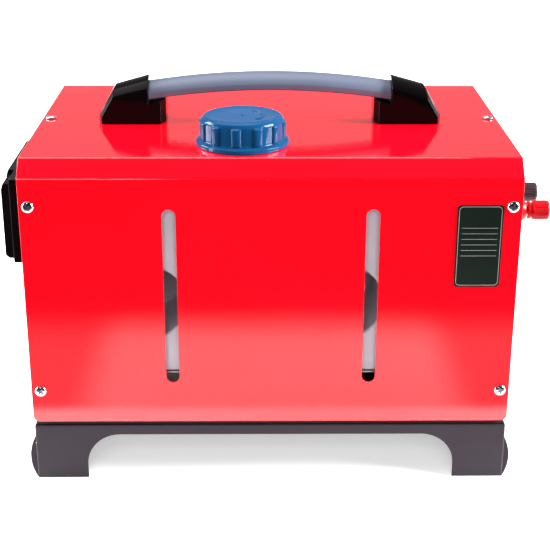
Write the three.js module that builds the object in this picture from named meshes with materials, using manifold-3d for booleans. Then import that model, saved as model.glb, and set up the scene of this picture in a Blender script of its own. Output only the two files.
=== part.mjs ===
// A portable diesel air heater: a folded red sheet-steel case on a black base, with the
// fuel tank behind the front panel, the heater core behind the tank and a mains supply
// above the core.
//
// Millimetres. x runs to the right, y to the back and z up. Every piece is drawn about the
// case: x = 0 is its middle, y = 0 its front face and z = 0 the floor. The finished group
// is then shifted so that its origin is the middle of its footprint.
import * as THREE from 'three';
import { mergeVertices } from 'three/addons/utils/BufferGeometryUtils.js';
import Module from 'manifold-3d';

const wasm = await Module();
wasm.setup();

// ---------------------------------------------------------------- driving dimensions

const gap = 0.3; // between two pieces that touch
const play = 0.6; // round a piece that turns or slides
const over = 1; // how far joined shapes reach into each other, and cutters past a face
const drill = 10; // length of a cutter through a sheet, half of it on either side

// Facets round a circle, by its size
const largeFacets = 28;
const mediumFacets = 18;
const smallFacets = 12;
const holeFacets = 8;

// Case
const caseWidth = 390;
const caseDepth = 260;
const frontHeight = 208; // upright part of the front panel
const chamferRun = 14; // sloping band between the front and the top
const chamferRise = 13.6;
const coverSheet = 1.2;
const coverCorner = 5; // radius of the front and back panels' lower corners
const coverLift = 3.7; // dark gap between the base and the red panels
const flangeWidth = 12;

// Sight slots in front of the tank
const slotWidth = 10.6;
const slotLength = 147.6;
const slotSpacing = 158.9;
const slotDrop = 24.6; // from the front crease to the top of a slot

// Case screws
const screwHeadRadius = 4.65;
const screwHeadHeight = 2.3;
const screwShankRadius = 2;
const screwLength = 8;
const screwEdge = 7.5; // from the side of the case to a screw
const upperScrewDrop = 22.1; // below the front crease
const lowerScrewRise = 28.1; // above the lower edge of the cover
const topScrewSetback = 133.7; // behind the front face

// Base
const baseHeight = 49.1;
const baseSheet = 1.5;
const baseInset = 0.3;
const footWidth = 42.4;
const archRadius = 27.5;
const barHeight = 8.8;
const lipHeight = 12;
const earChord = 118;
const earReach = 14.5;
const earHoleRadius = 4;
const earHoleOffset = 8.5;

// Rating plate
const plateWidth = 36;
const plateHeight = 68;
const plateThickness = 0.4;
const plateEdge = 14.5; // from the side of the case
const plateDrop = 20.6; // below the front crease
const plateCorner = 3;

// Carrying handle
const handleSetback = 132; // from the front face to its middle
const gripWidth = 30;
const gripSide = 5.4; // upright edge under the crown
const gripCrown = 8;
const gripReach = 102; // from the middle to either end of the grip
const gripMidHeight = 28.1; // underside above the top panel, at the middle
const gripEndHeight = 20.1;
const gripSteps = 14; // along the arch
const tenonLength = 14;
const tenonWidth = 20;
const tenonHeight = 7;
const handleEndDepth = 38;
const handleEndCrown = 8;
const handleEndInner = 88;
const handleInnerRun = 4.2; // cut off the two corners under the grip
const handleInnerDepth = 9;
const handleEndOuter = 142;
const handleEndTall = 30.5; // front edge where the grip enters
const handleEndLow = 22; // front edge where the outer slant begins
const handleSlantRun = 9.2;
const handleSlantFoot = 6.3; // height at which the slant ends
const handleStepHeight = 17.3; // ledge under the grip, where the grip enters
const handleCornerRun = 3;
const handleCornerDepth = 10;
const handleScrewRadius = 2.5;
const handleScrewDepth = 10;

// Fuel tank
const tankHeight = 167;
const tankLeftRoom = 15; // from the left side of the case
const tankRightRoom = 55; // from the right side of the case
const tankSetback = 8; // from the front face to the tank
const tankBackRoom = 16; // from the tank to the core's shell
const tankFloor = 95;
const tankWall = 2.5;
const tankCorner = 14;
const recessSpacing = 158;
const recessRadius = 31;
const recessInnerRadius = 27;
const recessBackRoom = 30; // from the end of a recess to the back of the tank
const recessRise = 60.5; // above the tank's floor
const neckRadius = 24;
const neckWall = 4;
const neckShift = -22.4;
const neckBehind = 1; // behind the middle of the tank

// Fuel cap
const capHeight = 23.5;
const capRadius = 33;
const capBore = 25;
const capTop = 3;
const capBevel = 2.5;
const capLipRadius = 37.4;
const capLipHeight = 4.6;
const capLipBevel = 1.2;
const capFacets = 36; // three to a rib
const capRibs = 12;
const capRibRadius = 2.4;
const capRibProud = 2;
const capRibTurn = -8; // degrees from the front
const sealThickness = 2;

// Shelves inside
const shelfSheet = 1.5;
const shelfMargin = 6; // beyond what stands on it, at each end
const shelfFoot = 12;
const shelfHoleMargin = 2; // round what passes through a shelf

// Fuel line
const pumpRadius = 14;
const pumpLength = 58;
const pumpShift = -24;
const pumpEndRadius = 8;
const pumpEndLength = 5;
const nippleRadius = 3;
const nippleLength = 12;
const nippleBore = 1.5;
const plungerRadius = 6;
const plungerLength = 34;
const plungerTravel = 4;
const clampWidth = 14;
const clampWall = 3;
const clampFoot = 22;
const clampRise = 1; // under the strap
const filterRadius = 13;
const filterLength = 38;
const filterBevel = 3;
const filterWall = 2;
const filterSleeveRadius = 6.5;
const filterSleeveLength = 8; // over the pump's nipple
const drainMargin = 30; // from the left end of the tank to its drain
const drainFlangeRadius = 9;
const drainFlangeThickness = 2.5;
const drainStemRadius = 6;
const drainStemRise = 2; // above the tank's inner floor
const drainDrop = 8;
const hoseRadius = 3.5;
const hoseLead = 2; // straight run at its ends
const hoseTurn = 3; // from the end of its straight run to its bend, in x
const hoseBend = 6; // how far it has turned back by then
const hoseSweep = 18; // how far back it climbs to the burner

// Heater core, a shell on the x axis
const coreWidth = 120;
const coreHeight = 122;
const coreBackRoom = 24; // from its shell to the back of the case
const coreAxisHeight = 125;
const coreWall = 3;
const coreCorner = 26;
const coreBore = 37; // air way through both ends
const railLength = 72;
const railWidth = 20;
const railSpacing = 200;
const exchangerLength = 160;
const exchangerMargin = 25; // from the left end of the core to the exchanger
const exchangerRadius = 33;
const exchangerBore = 27;
const exchangerBack = 8;
const finReach = 50;
const finCount = 14;
const finShare = 0.34; // of the pitch between two fins
const burnerRadius = 20;
const burnerWall = 2;
const burnerLength = 85;
const chamberLength = 26;
const chamberRadius = 44;
const fuelInletDrop = 40; // below the axis of the core
const impellerRadius = 32;
const impellerLength = 8;
const impellerPocket = 12;
const impellerHub = 6.3;
const impellerVanes = 10;
const vaneHalf = 0.8; // half the thickness of a vane or a fan blade
const glowPlugRadius = 5;
const glowPlugLength = 52;
const glowPlugTip = 8;
const shaftRadius = 3;
const motorRadius = 28;
const motorLength = 40;
const motorClearance = 14.7; // from the combustion housing to the motor
const spiderLength = 6; // three arms that hold the motor
const spiderWidth = 8;
const fanClearance = 6; // from the motor to the fan
const fanRadius = 35;
const fanHub = 12;
const fanLength = 16;
const fanBlades = 9;
const fanPitch = 40; // degrees
const fanMargin = 12; // from the fan to the right end of the core
const boardWidth = 44;
const boardDepth = 80;
const boardThickness = 8;
const boardRise = 44; // above the axis of the core
const stubRadius = 12;
const stubWall = 2;
const stubMargin = 6; // round a stub where it passes through the base
const stubEnd = 14; // above the floor
const exhaustShift = -60;
const guardRadius = 46;
const guardThickness = 6;
const guardBar = 4;

// Warm-air outlet
const outletBore = 36;
const outletFlange = 50;
const outletFlangeThickness = 6;
const outletCollarWall = 4;
const louverRim = 3;
const louverDepth = 8;
const louverSlats = 5;
const louverSlatThickness = 1.6;
const louverSlatDepth = 7;
const louverTilt = 30; // degrees

// Air inlet slots in the right side
const inletSlots = 7;
const inletSlotLength = 72;
const inletSlotHeight = 5;
const inletSlotPitch = 11;

// Controller on the left side
const controllerReach = 19; // beyond the side of the case
const controllerSetback = 31;
const controllerFloor = 184.8;
const moduleWidth = 25;
const moduleHeight = 63.2;
const displayWidth = 88;
const displayHeight = 67.2;
const controllerPlate = 12;
const controllerPlateMargin = 2.9;
const controllerBevel = 3;
const screenWidth = 66;
const screenHeight = 38;
const screenThickness = 1;
const screenFloor = 22; // above the controller's lower edge
const buttonWidth = 11;
const buttonHeight = 8;
const buttonLength = 5;
const buttonTravel = 1;
const buttonPitch = 13;
const buttonCount = 4;
const buttonFloor = 8; // lowest button above the controller's lower edge

// Terminals on the right side
const terminalHeight = 227;
const redSetback = 27;
const blackSetback = 75;
const terminalReach = 26.3; // from the side of the case to the end of a knob
const terminalBaseRadius = 9;
const terminalBaseNose = 7;
const terminalBaseLength = 7.6;
const terminalStudRadius = 3;
const terminalStudInside = 15;
const terminalWasherRadius = 6;
const terminalWasherThickness = 0.8;
const clampRingRadius = 7.2;
const clampRingLength = 2.4;
const knobRadius = 7.9;
const knobLength = 13.2;
const knobBore = 8.5; // depth of its thread
const knobFlutes = 12;
const knobFluteDepth = 0.5;
const knobNeck = 5.9;
const knobBevel = 1.2;

// Mains inlet with its switch, and the supply
const mainsShift = 135;
const mainsHeight = 228;
const mainsFlangeWidth = 30;
const mainsFlangeHeight = 54;
const mainsFlangeThickness = 2.3;
const mainsBodyWidth = 26;
const mainsBodyHeight = 48;
const mainsBodyDepth = 20;
const socketWidth = 22;
const socketHeight = 16;
const socketDepth = 14;
const socketBevel = 4; // its two upper corners
const socketDrop = 11; // below the middle of the module
const pinWidth = 2;
const pinHeight = 4;
const pinSpacing = 7;
const pinSink = 3; // behind the mouth of the socket
const rockerRadius = 8.5;
const rockerWidth = 13;
const rockerFace = 2.5;
const rockerDish = 1.2;
const rockerSink = 2; // pivot behind the outer face of the case
const rockerRise = 12; // above the middle of the module
const rockerTilt = 10; // degrees each way
const supplyWidth = 200;
const supplyDepth = 110;
const supplyHeight = 42;
const supplyBackRoom = 20; // from the supply to the back of the case
const supplyVents = 8;
const supplySheet = 1.2;
const ventWidth = 6;
const ventMargin = 12;
const shelfRise = 11; // from the core's shell to the supply's shelf

// ---------------------------------------------------------------- worked-out places

const coverFloor = baseHeight + coverLift;
const creaseHeight = coverFloor + frontHeight;
const topHeight = creaseHeight + chamferRise;
const halfWidth = caseWidth / 2;
const sidePlateOuter = halfWidth - gap;
const sidePlateInner = sidePlateOuter - coverSheet;
const baseHalf = halfWidth - baseInset;
const deck = baseHeight + gap; // lowest place for a piece that stands on the base
const upperScrewHeight = creaseHeight - upperScrewDrop;
const lowerScrewHeight = coverFloor + lowerScrewRise;
const screwHoleRadius = screwShankRadius + gap;
const coreSetback = caseDepth - coreBackRoom - coreWidth / 2; // from the front face to its axis
const coreFront = coreSetback - coreWidth / 2;
const supplySetback = caseDepth - supplyBackRoom - supplyDepth / 2;
const tankLeft = -halfWidth + tankLeftRoom;
const tankRight = halfWidth - tankRightRoom;
const tankShift = (tankLeft + tankRight) / 2; // its middle, left of the middle of the case
const tankDepth = coreFront - tankBackRoom - tankSetback;
const recessDepth = tankDepth - recessBackRoom;
const neckSetback = tankSetback + tankDepth / 2 + neckBehind;
const drainShift = tankLeft + drainMargin;
const tankTop = tankFloor + tankHeight;
const neckRise = capHeight - capTop - sealThickness - gap; // top of the neck above the panel
const controllerFace = -(halfWidth + controllerReach);
const pumpLeft = pumpShift - pumpLength / 2;
const pumpRight = pumpShift + pumpLength / 2;
const plungerRoom = plungerLength + plungerTravel + 2 * gap;
const pumpAxisHeight = deck + clampRise + clampWall + gap + pumpRadius;
const fuelLine = neckSetback; // the pump hangs under the filler, at its setback
const drainTip = tankFloor - gap - drainFlangeThickness - drainDrop;
const filterRight = pumpLeft - pumpEndLength - gap - filterSleeveLength;
const coreFloor = coreAxisHeight - coreHeight / 2;
const coreTop = coreAxisHeight + coreHeight / 2;
const coreLength = exchangerMargin + exchangerLength + gap + chamberLength
  + motorClearance + motorLength + fanClearance + fanLength + fanMargin;
const exchangerStart = exchangerMargin - coreLength / 2;
const exchangerEnd = exchangerStart + exchangerLength;
const chamberStart = exchangerEnd + gap;
const chamberEnd = chamberStart + chamberLength;
const impellerStart = chamberEnd - impellerPocket + play;
const stubShift = chamberStart + chamberLength / 2;
const plugShift = chamberStart + (chamberLength - impellerPocket) / 2;
const motorStart = chamberEnd + motorClearance;
const fanStart = motorStart + motorLength + fanClearance;
const outletCollar = outletBore + outletCollarWall;

// ---------------------------------------------------------------- solids

// Turns a closed three.js geometry into a solid with merged vertices and no flat triangles.
function toSolid(geometry) {
  const bare = new THREE.BufferGeometry();
  bare.setAttribute('position', geometry.getAttribute('position').clone());
  if (geometry.index) bare.setIndex(geometry.index.clone());
  const merged = mergeVertices(bare, 1e-4);
  const source = merged.index.array;
  const triangles = [];
  for (let i = 0; i < source.length; i += 3) {
    const [a, b, c] = [source[i], source[i + 1], source[i + 2]];
    if (a !== b && b !== c && c !== a) triangles.push(a, b, c);
  }
  const mesh = new wasm.Mesh({
    numProp: 3,
    vertProperties: new Float32Array(merged.getAttribute('position').array),
    triVerts: new Uint32Array(triangles),
  });
  return new wasm.Manifold(mesh);
}

function toGeometry(solid) {
  const mesh = solid.getMesh();
  const geometry = new THREE.BufferGeometry();
  geometry.setAttribute('position', new THREE.BufferAttribute(mesh.vertProperties, 3));
  geometry.setIndex(new THREE.BufferAttribute(mesh.triVerts, 1));
  return geometry;
}

function join(...geometries) {
  return toGeometry(geometries.map(toSolid).reduce((whole, next) => whole.add(next)));
}

function cut(geometry, ...tools) {
  const left = tools.map(toSolid).reduce((solid, tool) => solid.subtract(tool), toSolid(geometry));
  return toGeometry(left);
}

function common(...geometries) {
  return toGeometry(geometries.map(toSolid).reduce((whole, next) => whole.intersect(next)));
}

// Mirrors a closed geometry across x = 0 and keeps its faces pointing out.
function mirrored(geometry) {
  const copy = toGeometry(toSolid(geometry));
  const position = copy.getAttribute('position');
  for (let i = 0; i < position.count; i += 1) position.setX(i, -position.getX(i));
  const index = copy.index.array;
  for (let i = 0; i < index.length; i += 3) [index[i], index[i + 1]] = [index[i + 1], index[i]];
  return copy;
}

function outline(points) {
  return new THREE.Shape(points.map(([x, y]) => new THREE.Vector2(x, y)));
}

function roundedOutline(x0, x1, y0, y1, radius) {
  const shape = new THREE.Shape();
  shape.moveTo(x0 + radius, y0);
  shape.lineTo(x1 - radius, y0);
  shape.absarc(x1 - radius, y0 + radius, radius, -Math.PI / 2, 0, false);
  shape.lineTo(x1, y1 - radius);
  shape.absarc(x1 - radius, y1 - radius, radius, 0, Math.PI / 2, false);
  shape.lineTo(x0 + radius, y1);
  shape.absarc(x0 + radius, y1 - radius, radius, Math.PI / 2, Math.PI, false);
  shape.lineTo(x0, y0 + radius);
  shape.absarc(x0 + radius, y0 + radius, radius, Math.PI, 1.5 * Math.PI, false);
  return shape;
}

function extruded(shape, length, facets, steps = 1) {
  const options = { depth: length, steps, bevelEnabled: false, curveSegments: facets };
  return new THREE.ExtrudeGeometry(shape, options);
}

// The three extrusions take an outline in the two other axes, in the order y z, x z and x y.
function alongX(shape, x0, x1, facets = 6, steps = 1) {
  const permute = new THREE.Matrix4().set(0, 0, 1, x0, 1, 0, 0, 0, 0, 1, 0, 0, 0, 0, 0, 1);
  return extruded(shape, x1 - x0, facets, steps).applyMatrix4(permute);
}

function alongY(shape, y0, y1, facets = 6) {
  return extruded(shape, y1 - y0, facets).rotateX(Math.PI / 2).translate(0, y1, 0);
}

function alongZ(shape, z0, z1, facets = 6) {
  return extruded(shape, z1 - z0, facets).translate(0, 0, z0);
}

function block(x0, x1, y0, y1, z0, z1) {
  const box = new THREE.BoxGeometry(x1 - x0, y1 - y0, z1 - z0);
  return box.translate((x0 + x1) / 2, (y0 + y1) / 2, (z0 + z1) / 2);
}

// Solids of revolution from [radius, height] points that start and end on the axis, or close.
function turned(profile, facets = mediumFacets) {
  const points = profile.map(([radius, height]) => new THREE.Vector2(radius, height));
  const lathe = new THREE.LatheGeometry(points, facets);
  return lathe.rotateX(Math.PI / 2);
}

function rod(radius, length, facets = mediumFacets) {
  return turned([[0, 0], [radius, 0], [radius, length], [0, length]], facets);
}

function pipe(outer, inner, length, facets = mediumFacets) {
  return turned([[inner, 0], [outer, 0], [outer, length], [inner, length], [inner, 0]], facets);
}

// Lays a piece turned about z along x, with its foot at x.
function layX(geometry, x, y, z) {
  return geometry.rotateY(Math.PI / 2).translate(x, y, z);
}

function layY(geometry, x, y, z) {
  return geometry.rotateX(-Math.PI / 2).translate(x, y, z);
}

// Moves every edge of a convex outline, given anticlockwise, inward by a distance.
function inset(points, distance) {
  return points.map((point, i) => {
    const before = points[(i + points.length - 1) % points.length];
    const after = points[(i + 1) % points.length];
    const [ax, ay] = unit(before, point);
    const [bx, by] = unit(point, after);
    const turn = ax * by - ay * bx;
    const shift = (distance * (1 - ax * bx - ay * by)) / turn;
    return [point[0] - ay * distance - ax * shift, point[1] + ax * distance - ay * shift];
  });
}

function unit([x0, y0], [x1, y1]) {
  const length = Math.hypot(x1 - x0, y1 - y0);
  return [(x1 - x0) / length, (y1 - y0) / length];
}

function swept(points, radius, steps, facets = holeFacets) {
  const path = new THREE.CatmullRomCurve3(points.map(([x, y, z]) => new THREE.Vector3(x, y, z)));
  const section = new THREE.Shape();
  for (let i = 0; i < facets; i += 1) {
    const angle = (2 * Math.PI * i) / facets;
    const move = i === 0 ? 'moveTo' : 'lineTo';
    section[move](radius * Math.cos(angle), radius * Math.sin(angle));
  }
  section.closePath();
  return new THREE.ExtrudeGeometry(section, { extrudePath: path, steps, bevelEnabled: false });
}

// ---------------------------------------------------------------- case

// The case's end view in y and z, from its lower front corner round by the back.
const caseOutline = [
  [0, coverFloor],
  [caseDepth, coverFloor],
  [caseDepth, topHeight],
  [chamferRun, topHeight],
  [0, creaseHeight],
];

// The case's end view moved in by a distance, and open at the bottom.
function innerCase(distance) {
  const points = inset(caseOutline, distance);
  points[0][1] = coverFloor - coverLift;
  points[1][1] = coverFloor - coverLift;
  return outline(points);
}

function slotCutters() {
  const top = creaseHeight - slotDrop;
  return [-1, 1].map((side) => {
    const middle = (side * slotSpacing) / 2;
    const shape = roundedOutline(
      middle - slotWidth / 2, middle + slotWidth / 2, top - slotLength, top, slotWidth / 2 - 0.01);
    return alongY(shape, -over, coverSheet + over);
  });
}

function cornerCutter(side) {
  const corner = new THREE.Shape();
  const reach = coverCorner + over;
  corner.moveTo(halfWidth + over, coverFloor - over);
  corner.lineTo(halfWidth + over, coverFloor - over + reach);
  corner.lineTo(halfWidth, coverFloor + coverCorner);
  corner.absarc(halfWidth - coverCorner, coverFloor + coverCorner, coverCorner, 0, -Math.PI / 2, true);
  corner.lineTo(halfWidth - coverCorner, coverFloor - over);
  const cutter = alongY(corner, -over, caseDepth + over);
  return side > 0 ? cutter : mirrored(cutter);
}

// Every case screw: its name, the middle of its hole in the outer face, and the turn that
// points its shank into the case.
const caseScrews = [[-1, 'left'], [1, 'right']].flatMap(([side, hand]) => [
  { name: `front_screw_upper_${hand}`, side, height: upperScrewHeight, face: 'front' },
  { name: `front_screw_lower_${hand}`, side, height: lowerScrewHeight, face: 'front' },
  { name: `top_screw_${hand}`, side, face: 'top' },
  { name: `back_screw_${hand}`, side, height: lowerScrewHeight, face: 'back' },
]);

function screwSeat({ side, height, face }) {
  const x = side * (halfWidth - screwEdge);
  if (face === 'top') return { position: [x, topScrewSetback, topHeight], rotation: [0, 0, 0] };
  if (face === 'front') return { position: [x, 0, height], rotation: [Math.PI / 2, 0, 0] };
  return { position: [x, caseDepth, height], rotation: [-Math.PI / 2, 0, 0] };
}

function placed(geometry, { position, rotation }) {
  return geometry.rotateX(rotation[0]).translate(...position);
}

function screwHole(screw) {
  const hole = rod(screwHoleRadius, 2 * screwLength, holeFacets).translate(0, 0, -screwLength);
  return placed(hole, screwSeat(screw));
}

function outerCover() {
  const sheet = alongX(outline(caseOutline), -halfWidth, halfWidth);
  const hollow = alongX(innerCase(coverSheet), -halfWidth - over, halfWidth + over);
  const filler = rod(neckRadius + play, drill, largeFacets)
    .translate(neckShift, neckSetback, topHeight - drill / 2);
  const mains = block(
    mainsShift - mainsBodyWidth / 2 - gap, mainsShift + mainsBodyWidth / 2 + gap,
    caseDepth - coverSheet - over, caseDepth + over,
    mainsHeight - mainsBodyHeight / 2 - gap, mainsHeight + mainsBodyHeight / 2 + gap);
  return cut(
    sheet, hollow, cornerCutter(-1), cornerCutter(1), ...slotCutters(), filler, mains,
    ...caseScrews.map(screwHole), ...handleScrewPlaces().map(handleScrewHole));
}

// A side panel is a shallow pan: a plate with a flange along its front, top and back.
function sidePan() {
  const flangeEnd = sidePlateOuter - flangeWidth;
  const outside = alongX(outline(inset(caseOutline, coverSheet + gap)), flangeEnd, sidePlateOuter);
  const inside = alongX(innerCase(2 * coverSheet + gap), flangeEnd - over, sidePlateInner);
  return cut(outside, inside);
}

function sidePanelRight() {
  const slots = [];
  for (let i = 0; i < inletSlots; i += 1) {
    const z = coreAxisHeight + (i - (inletSlots - 1) / 2) * inletSlotPitch;
    const shape = roundedOutline(
      coreSetback - inletSlotLength / 2, coreSetback + inletSlotLength / 2,
      z - inletSlotHeight / 2, z + inletSlotHeight / 2, inletSlotHeight / 2 - 0.01);
    slots.push(alongX(shape, sidePlateInner - over, halfWidth + over, 3));
  }
  const studs = [redSetback, blackSetback].map((y) =>
    layX(rod(terminalStudRadius + play, drill, smallFacets), sidePlateInner - drill / 2, y, terminalHeight));
  const screws = caseScrews.filter(({ side }) => side > 0).map(screwHole);
  return cut(sidePan(), ...slots, ...studs, ...screws);
}

function sidePanelLeft() {
  const ventStart = -halfWidth - drill / 2;
  const vent = layX(rod(outletCollar + gap, drill, largeFacets), ventStart, coreSetback, coreAxisHeight);
  const screws = caseScrews.filter(({ side }) => side < 0).map(screwHole);
  return cut(mirrored(sidePan()), vent, ...screws);
}

// ---------------------------------------------------------------- base

function skirtOutline() {
  const inner = baseHalf - footWidth;
  const springing = baseHeight - barHeight - archRadius;
  const shape = new THREE.Shape();
  shape.moveTo(-inner, -1);
  shape.lineTo(inner, -1);
  shape.lineTo(inner, springing);
  shape.absarc(inner - archRadius, springing, archRadius, 0, Math.PI / 2, false);
  shape.lineTo(-inner + archRadius, springing + archRadius);
  shape.absarc(-inner + archRadius, springing, archRadius, Math.PI / 2, Math.PI, false);
  return shape;
}

function ear(side, end) {
  const radius = (earChord * earChord / 4 + earReach * earReach) / (2 * earReach);
  const halfAngle = Math.asin(earChord / 2 / radius);
  const middle = end < 0 ? baseInset + earChord / 2 : caseDepth - baseInset - earChord / 2;
  const shape = new THREE.Shape();
  shape.moveTo(baseHalf - baseSheet, middle - earChord / 2);
  shape.absarc(baseHalf + earReach - radius, middle, radius, -halfAngle, halfAngle, false);
  shape.lineTo(baseHalf - baseSheet, middle + earChord / 2);
  const plate = alongZ(shape, 0, baseSheet, 8);
  const hole = rod(earHoleRadius, drill, smallFacets)
    .translate(baseHalf + earHoleOffset, middle, -drill / 2);
  const drilled = cut(plate, hole);
  return side > 0 ? drilled : mirrored(drilled);
}

function baseTray() {
  const half = baseHalf;
  const back = caseDepth - baseInset;
  const tub = cut(
    block(-half, half, baseInset, back, 0, baseHeight),
    block(
      -half + baseSheet, half - baseSheet, baseInset + baseSheet, back - baseSheet,
      -over, baseHeight - baseSheet),
    alongY(skirtOutline(), -over, caseDepth + over));
  const lipSide = sidePlateInner - gap;
  const lipFront = 2 * (coverSheet + gap);
  const lip = cut(
    block(
      -lipSide, lipSide, lipFront, caseDepth - lipFront,
      baseHeight - baseSheet / 2, baseHeight + lipHeight),
    block(
      -lipSide + baseSheet, lipSide - baseSheet, lipFront + baseSheet, caseDepth - lipFront - baseSheet,
      baseHeight, baseHeight + lipHeight + over));
  const stubs = [exhaustShift, stubShift].map((x) =>
    rod(stubRadius + stubMargin, drill).translate(x, coreSetback, baseHeight - drill / 2));
  const ears = [-1, 1].flatMap((side) => [ear(side, -1), ear(side, 1)]);
  return cut(join(tub, lip, ...ears), ...stubs);
}

function ratingPlate() {
  const right = halfWidth - plateEdge;
  const top = creaseHeight - plateDrop;
  const shape = roundedOutline(right - plateWidth, right, top - plateHeight, top, plateCorner);
  return alongY(shape, -gap - plateThickness, -gap, 4);
}

// Pan head with a cross recess, head up and shank down the z axis from its seat.
function caseScrew() {
  const head = turned([
    [0, -screwLength], [screwShankRadius, -screwLength], [screwShankRadius, gap], [screwHeadRadius, gap],
    [screwHeadRadius, gap + 0.5 * screwHeadHeight], [0.6 * screwHeadRadius, gap + screwHeadHeight],
    [0, gap + screwHeadHeight]], smallFacets);
  const half = 0.5 * screwHeadRadius;
  const slim = 0.12 * screwHeadRadius;
  const floor = gap + 0.35 * screwHeadHeight;
  const top = gap + screwHeadHeight + over;
  const slots = [block(-half, half, -slim, slim, floor, top), block(-slim, slim, -half, half, floor, top)];
  return cut(head, ...slots);
}

// ---------------------------------------------------------------- handle

// A flat-bottomed section with upright sides and a crowned top, in y and z about its middle.
function crownedSection(width, side, crown, floor) {
  const half = width / 2;
  const radius = (half * half + crown * crown) / (2 * crown);
  const angle = Math.asin(half / radius);
  const shape = new THREE.Shape();
  shape.moveTo(-half, floor);
  shape.lineTo(half, floor);
  shape.lineTo(half, side);
  shape.absarc(0, side + crown - radius, radius, Math.PI / 2 - angle, Math.PI / 2 + angle, false);
  return shape;
}

// Height of the grip's underside above the top panel at a distance from the middle.
function gripRise(x) {
  const sagitta = gripMidHeight - gripEndHeight;
  const radius = (gripReach * gripReach + sagitta * sagitta) / (2 * sagitta);
  return gripMidHeight - radius + Math.sqrt(radius * radius - x * x);
}

function handleTenon(side, clearance) {
  const near = gripReach - over;
  const far = gripReach + tenonLength + clearance;
  const middle = topHeight + gripEndHeight + gripSide;
  return block(
    side > 0 ? near : -far, side > 0 ? far : -near,
    handleSetback - tenonWidth / 2 - clearance, handleSetback + tenonWidth / 2 + clearance,
    middle - tenonHeight / 2 - clearance, middle + tenonHeight / 2 + clearance);
}

function handleGrip() {
  const section = crownedSection(gripWidth, gripSide, gripCrown, 0);
  const bar = alongX(section, -gripReach, gripReach, 6, gripSteps);
  const position = bar.getAttribute('position');
  for (let i = 0; i < position.count; i += 1) {
    position.setZ(i, position.getZ(i) + gripRise(position.getX(i)));
  }
  bar.translate(0, handleSetback, topHeight);
  return join(bar, handleTenon(-1, 0), handleTenon(1, 0));
}

// A handle end in plan, with its corners cut off.
function handlePlan(inner) {
  const front = handleSetback - handleEndDepth / 2;
  const back = handleSetback + handleEndDepth / 2;
  return outline([
    [inner, front + handleInnerDepth],
    [inner + handleInnerRun, front],
    [handleEndOuter, front],
    [handleEndOuter + handleCornerRun, front + handleCornerDepth],
    [handleEndOuter + handleCornerRun, back - handleCornerDepth],
    [handleEndOuter, back],
    [inner + handleInnerRun, back],
    [inner, back - handleInnerDepth],
  ]);
}

// Built for the right-hand end. The crowned top is a straight one that is sheared to its slope,
// which the ledge under the grip shares. The outer slant is the plan sheared along x, which
// reaches to the middle on its inner side.
function handleEnd() {
  const seat = gripReach + gap;
  const tip = handleEndOuter + handleCornerRun;
  const slope = (handleEndLow - handleEndTall) / (handleEndOuter - handleSlantRun - seat);
  const section = crownedSection(handleEndDepth, handleEndTall, handleEndCrown, -handleEndTall);
  const crowned = alongX(section, handleEndInner - over, tip + over, 8);
  crowned.applyMatrix4(
    new THREE.Matrix4().set(1, 0, 0, 0, 0, 1, 0, 0, slope, 0, 1, -slope * seat, 0, 0, 0, 1));
  crowned.translate(0, handleSetback, topHeight);
  const top = topHeight + handleEndTall + handleEndCrown + over;
  const ledgeEnd = topHeight + handleStepHeight + slope * (handleEndInner - seat);
  const side = alongY(outline([
    [handleEndInner, topHeight + gap],
    [tip, topHeight + gap],
    [tip, top],
    [seat, top],
    [seat, topHeight + handleStepHeight],
    [handleEndInner, ledgeEnd],
  ]), handleSetback - handleEndDepth, handleSetback + handleEndDepth);
  const plan = alongZ(handlePlan(handleEndInner), topHeight, top);
  const lean = handleSlantRun / (handleEndLow - handleSlantFoot);
  const slanted = alongZ(handlePlan(0), topHeight, top);
  const foot = topHeight + handleSlantFoot;
  slanted.applyMatrix4(new THREE.Matrix4().set(1, 0, -lean, lean * foot, 0, 1, 0, 0, 0, 0, 1, 0, 0, 0, 0, 1));
  const screws = handleScrewPlaces().filter(({ side: hand }) => hand > 0).map(handleScrewHole);
  return cut(common(crowned, side, plan, slanted), handleTenon(1, gap), ...screws);
}

// Two blind holes in the foot of each handle end, and holes through the top panel below them.
function handleScrewPlaces() {
  const middle = (handleEndInner + handleEndOuter) / 2;
  return [-1, 1].flatMap((side) => [-1, 1].map((end) => (
    { side, x: side * middle, y: handleSetback + (end * handleEndDepth) / 4 })));
}

function handleScrewHole({ x, y }) {
  return rod(handleScrewRadius, 2 * handleScrewDepth, holeFacets)
    .translate(x, y, topHeight - handleScrewDepth);
}

// ---------------------------------------------------------------- fuel tank and cap

// Two round recesses in the front face, deeper by the wall where the inside is cut out.
function recess(side, wall) {
  const start = tankSetback - over;
  const end = tankSetback + recessDepth + wall;
  const cone = [[0, start], [recessRadius + wall, start], [recessInnerRadius + wall, end], [0, end]];
  return layY(turned(cone, largeFacets), tankShift + (side * recessSpacing) / 2, 0, tankFloor + recessRise);
}

function tankBlock(wall) {
  const shape = roundedOutline(
    tankLeft + wall, tankRight - wall, tankSetback + wall, tankSetback + tankDepth - wall, tankCorner - wall);
  return alongZ(shape, tankFloor + wall, tankTop - wall, 4);
}

function fuelTank() {
  const neckHeight = topHeight + neckRise - tankTop;
  const neck = rod(neckRadius, neckHeight + over, largeFacets)
    .translate(neckShift, neckSetback, tankTop - over);
  const bore = rod(neckRadius - neckWall, neckHeight + drill, largeFacets)
    .translate(neckShift, neckSetback, tankTop - drill / 2);
  const outside = cut(tankBlock(0), recess(-1, 0), recess(1, 0));
  const inside = cut(tankBlock(tankWall), recess(-1, tankWall), recess(1, tankWall));
  const drain = rod(drainStemRadius + gap, drill, smallFacets)
    .translate(drainShift, fuelLine, tankFloor - drill / 2);
  return cut(join(outside, neck), inside, bore, drain);
}

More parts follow.
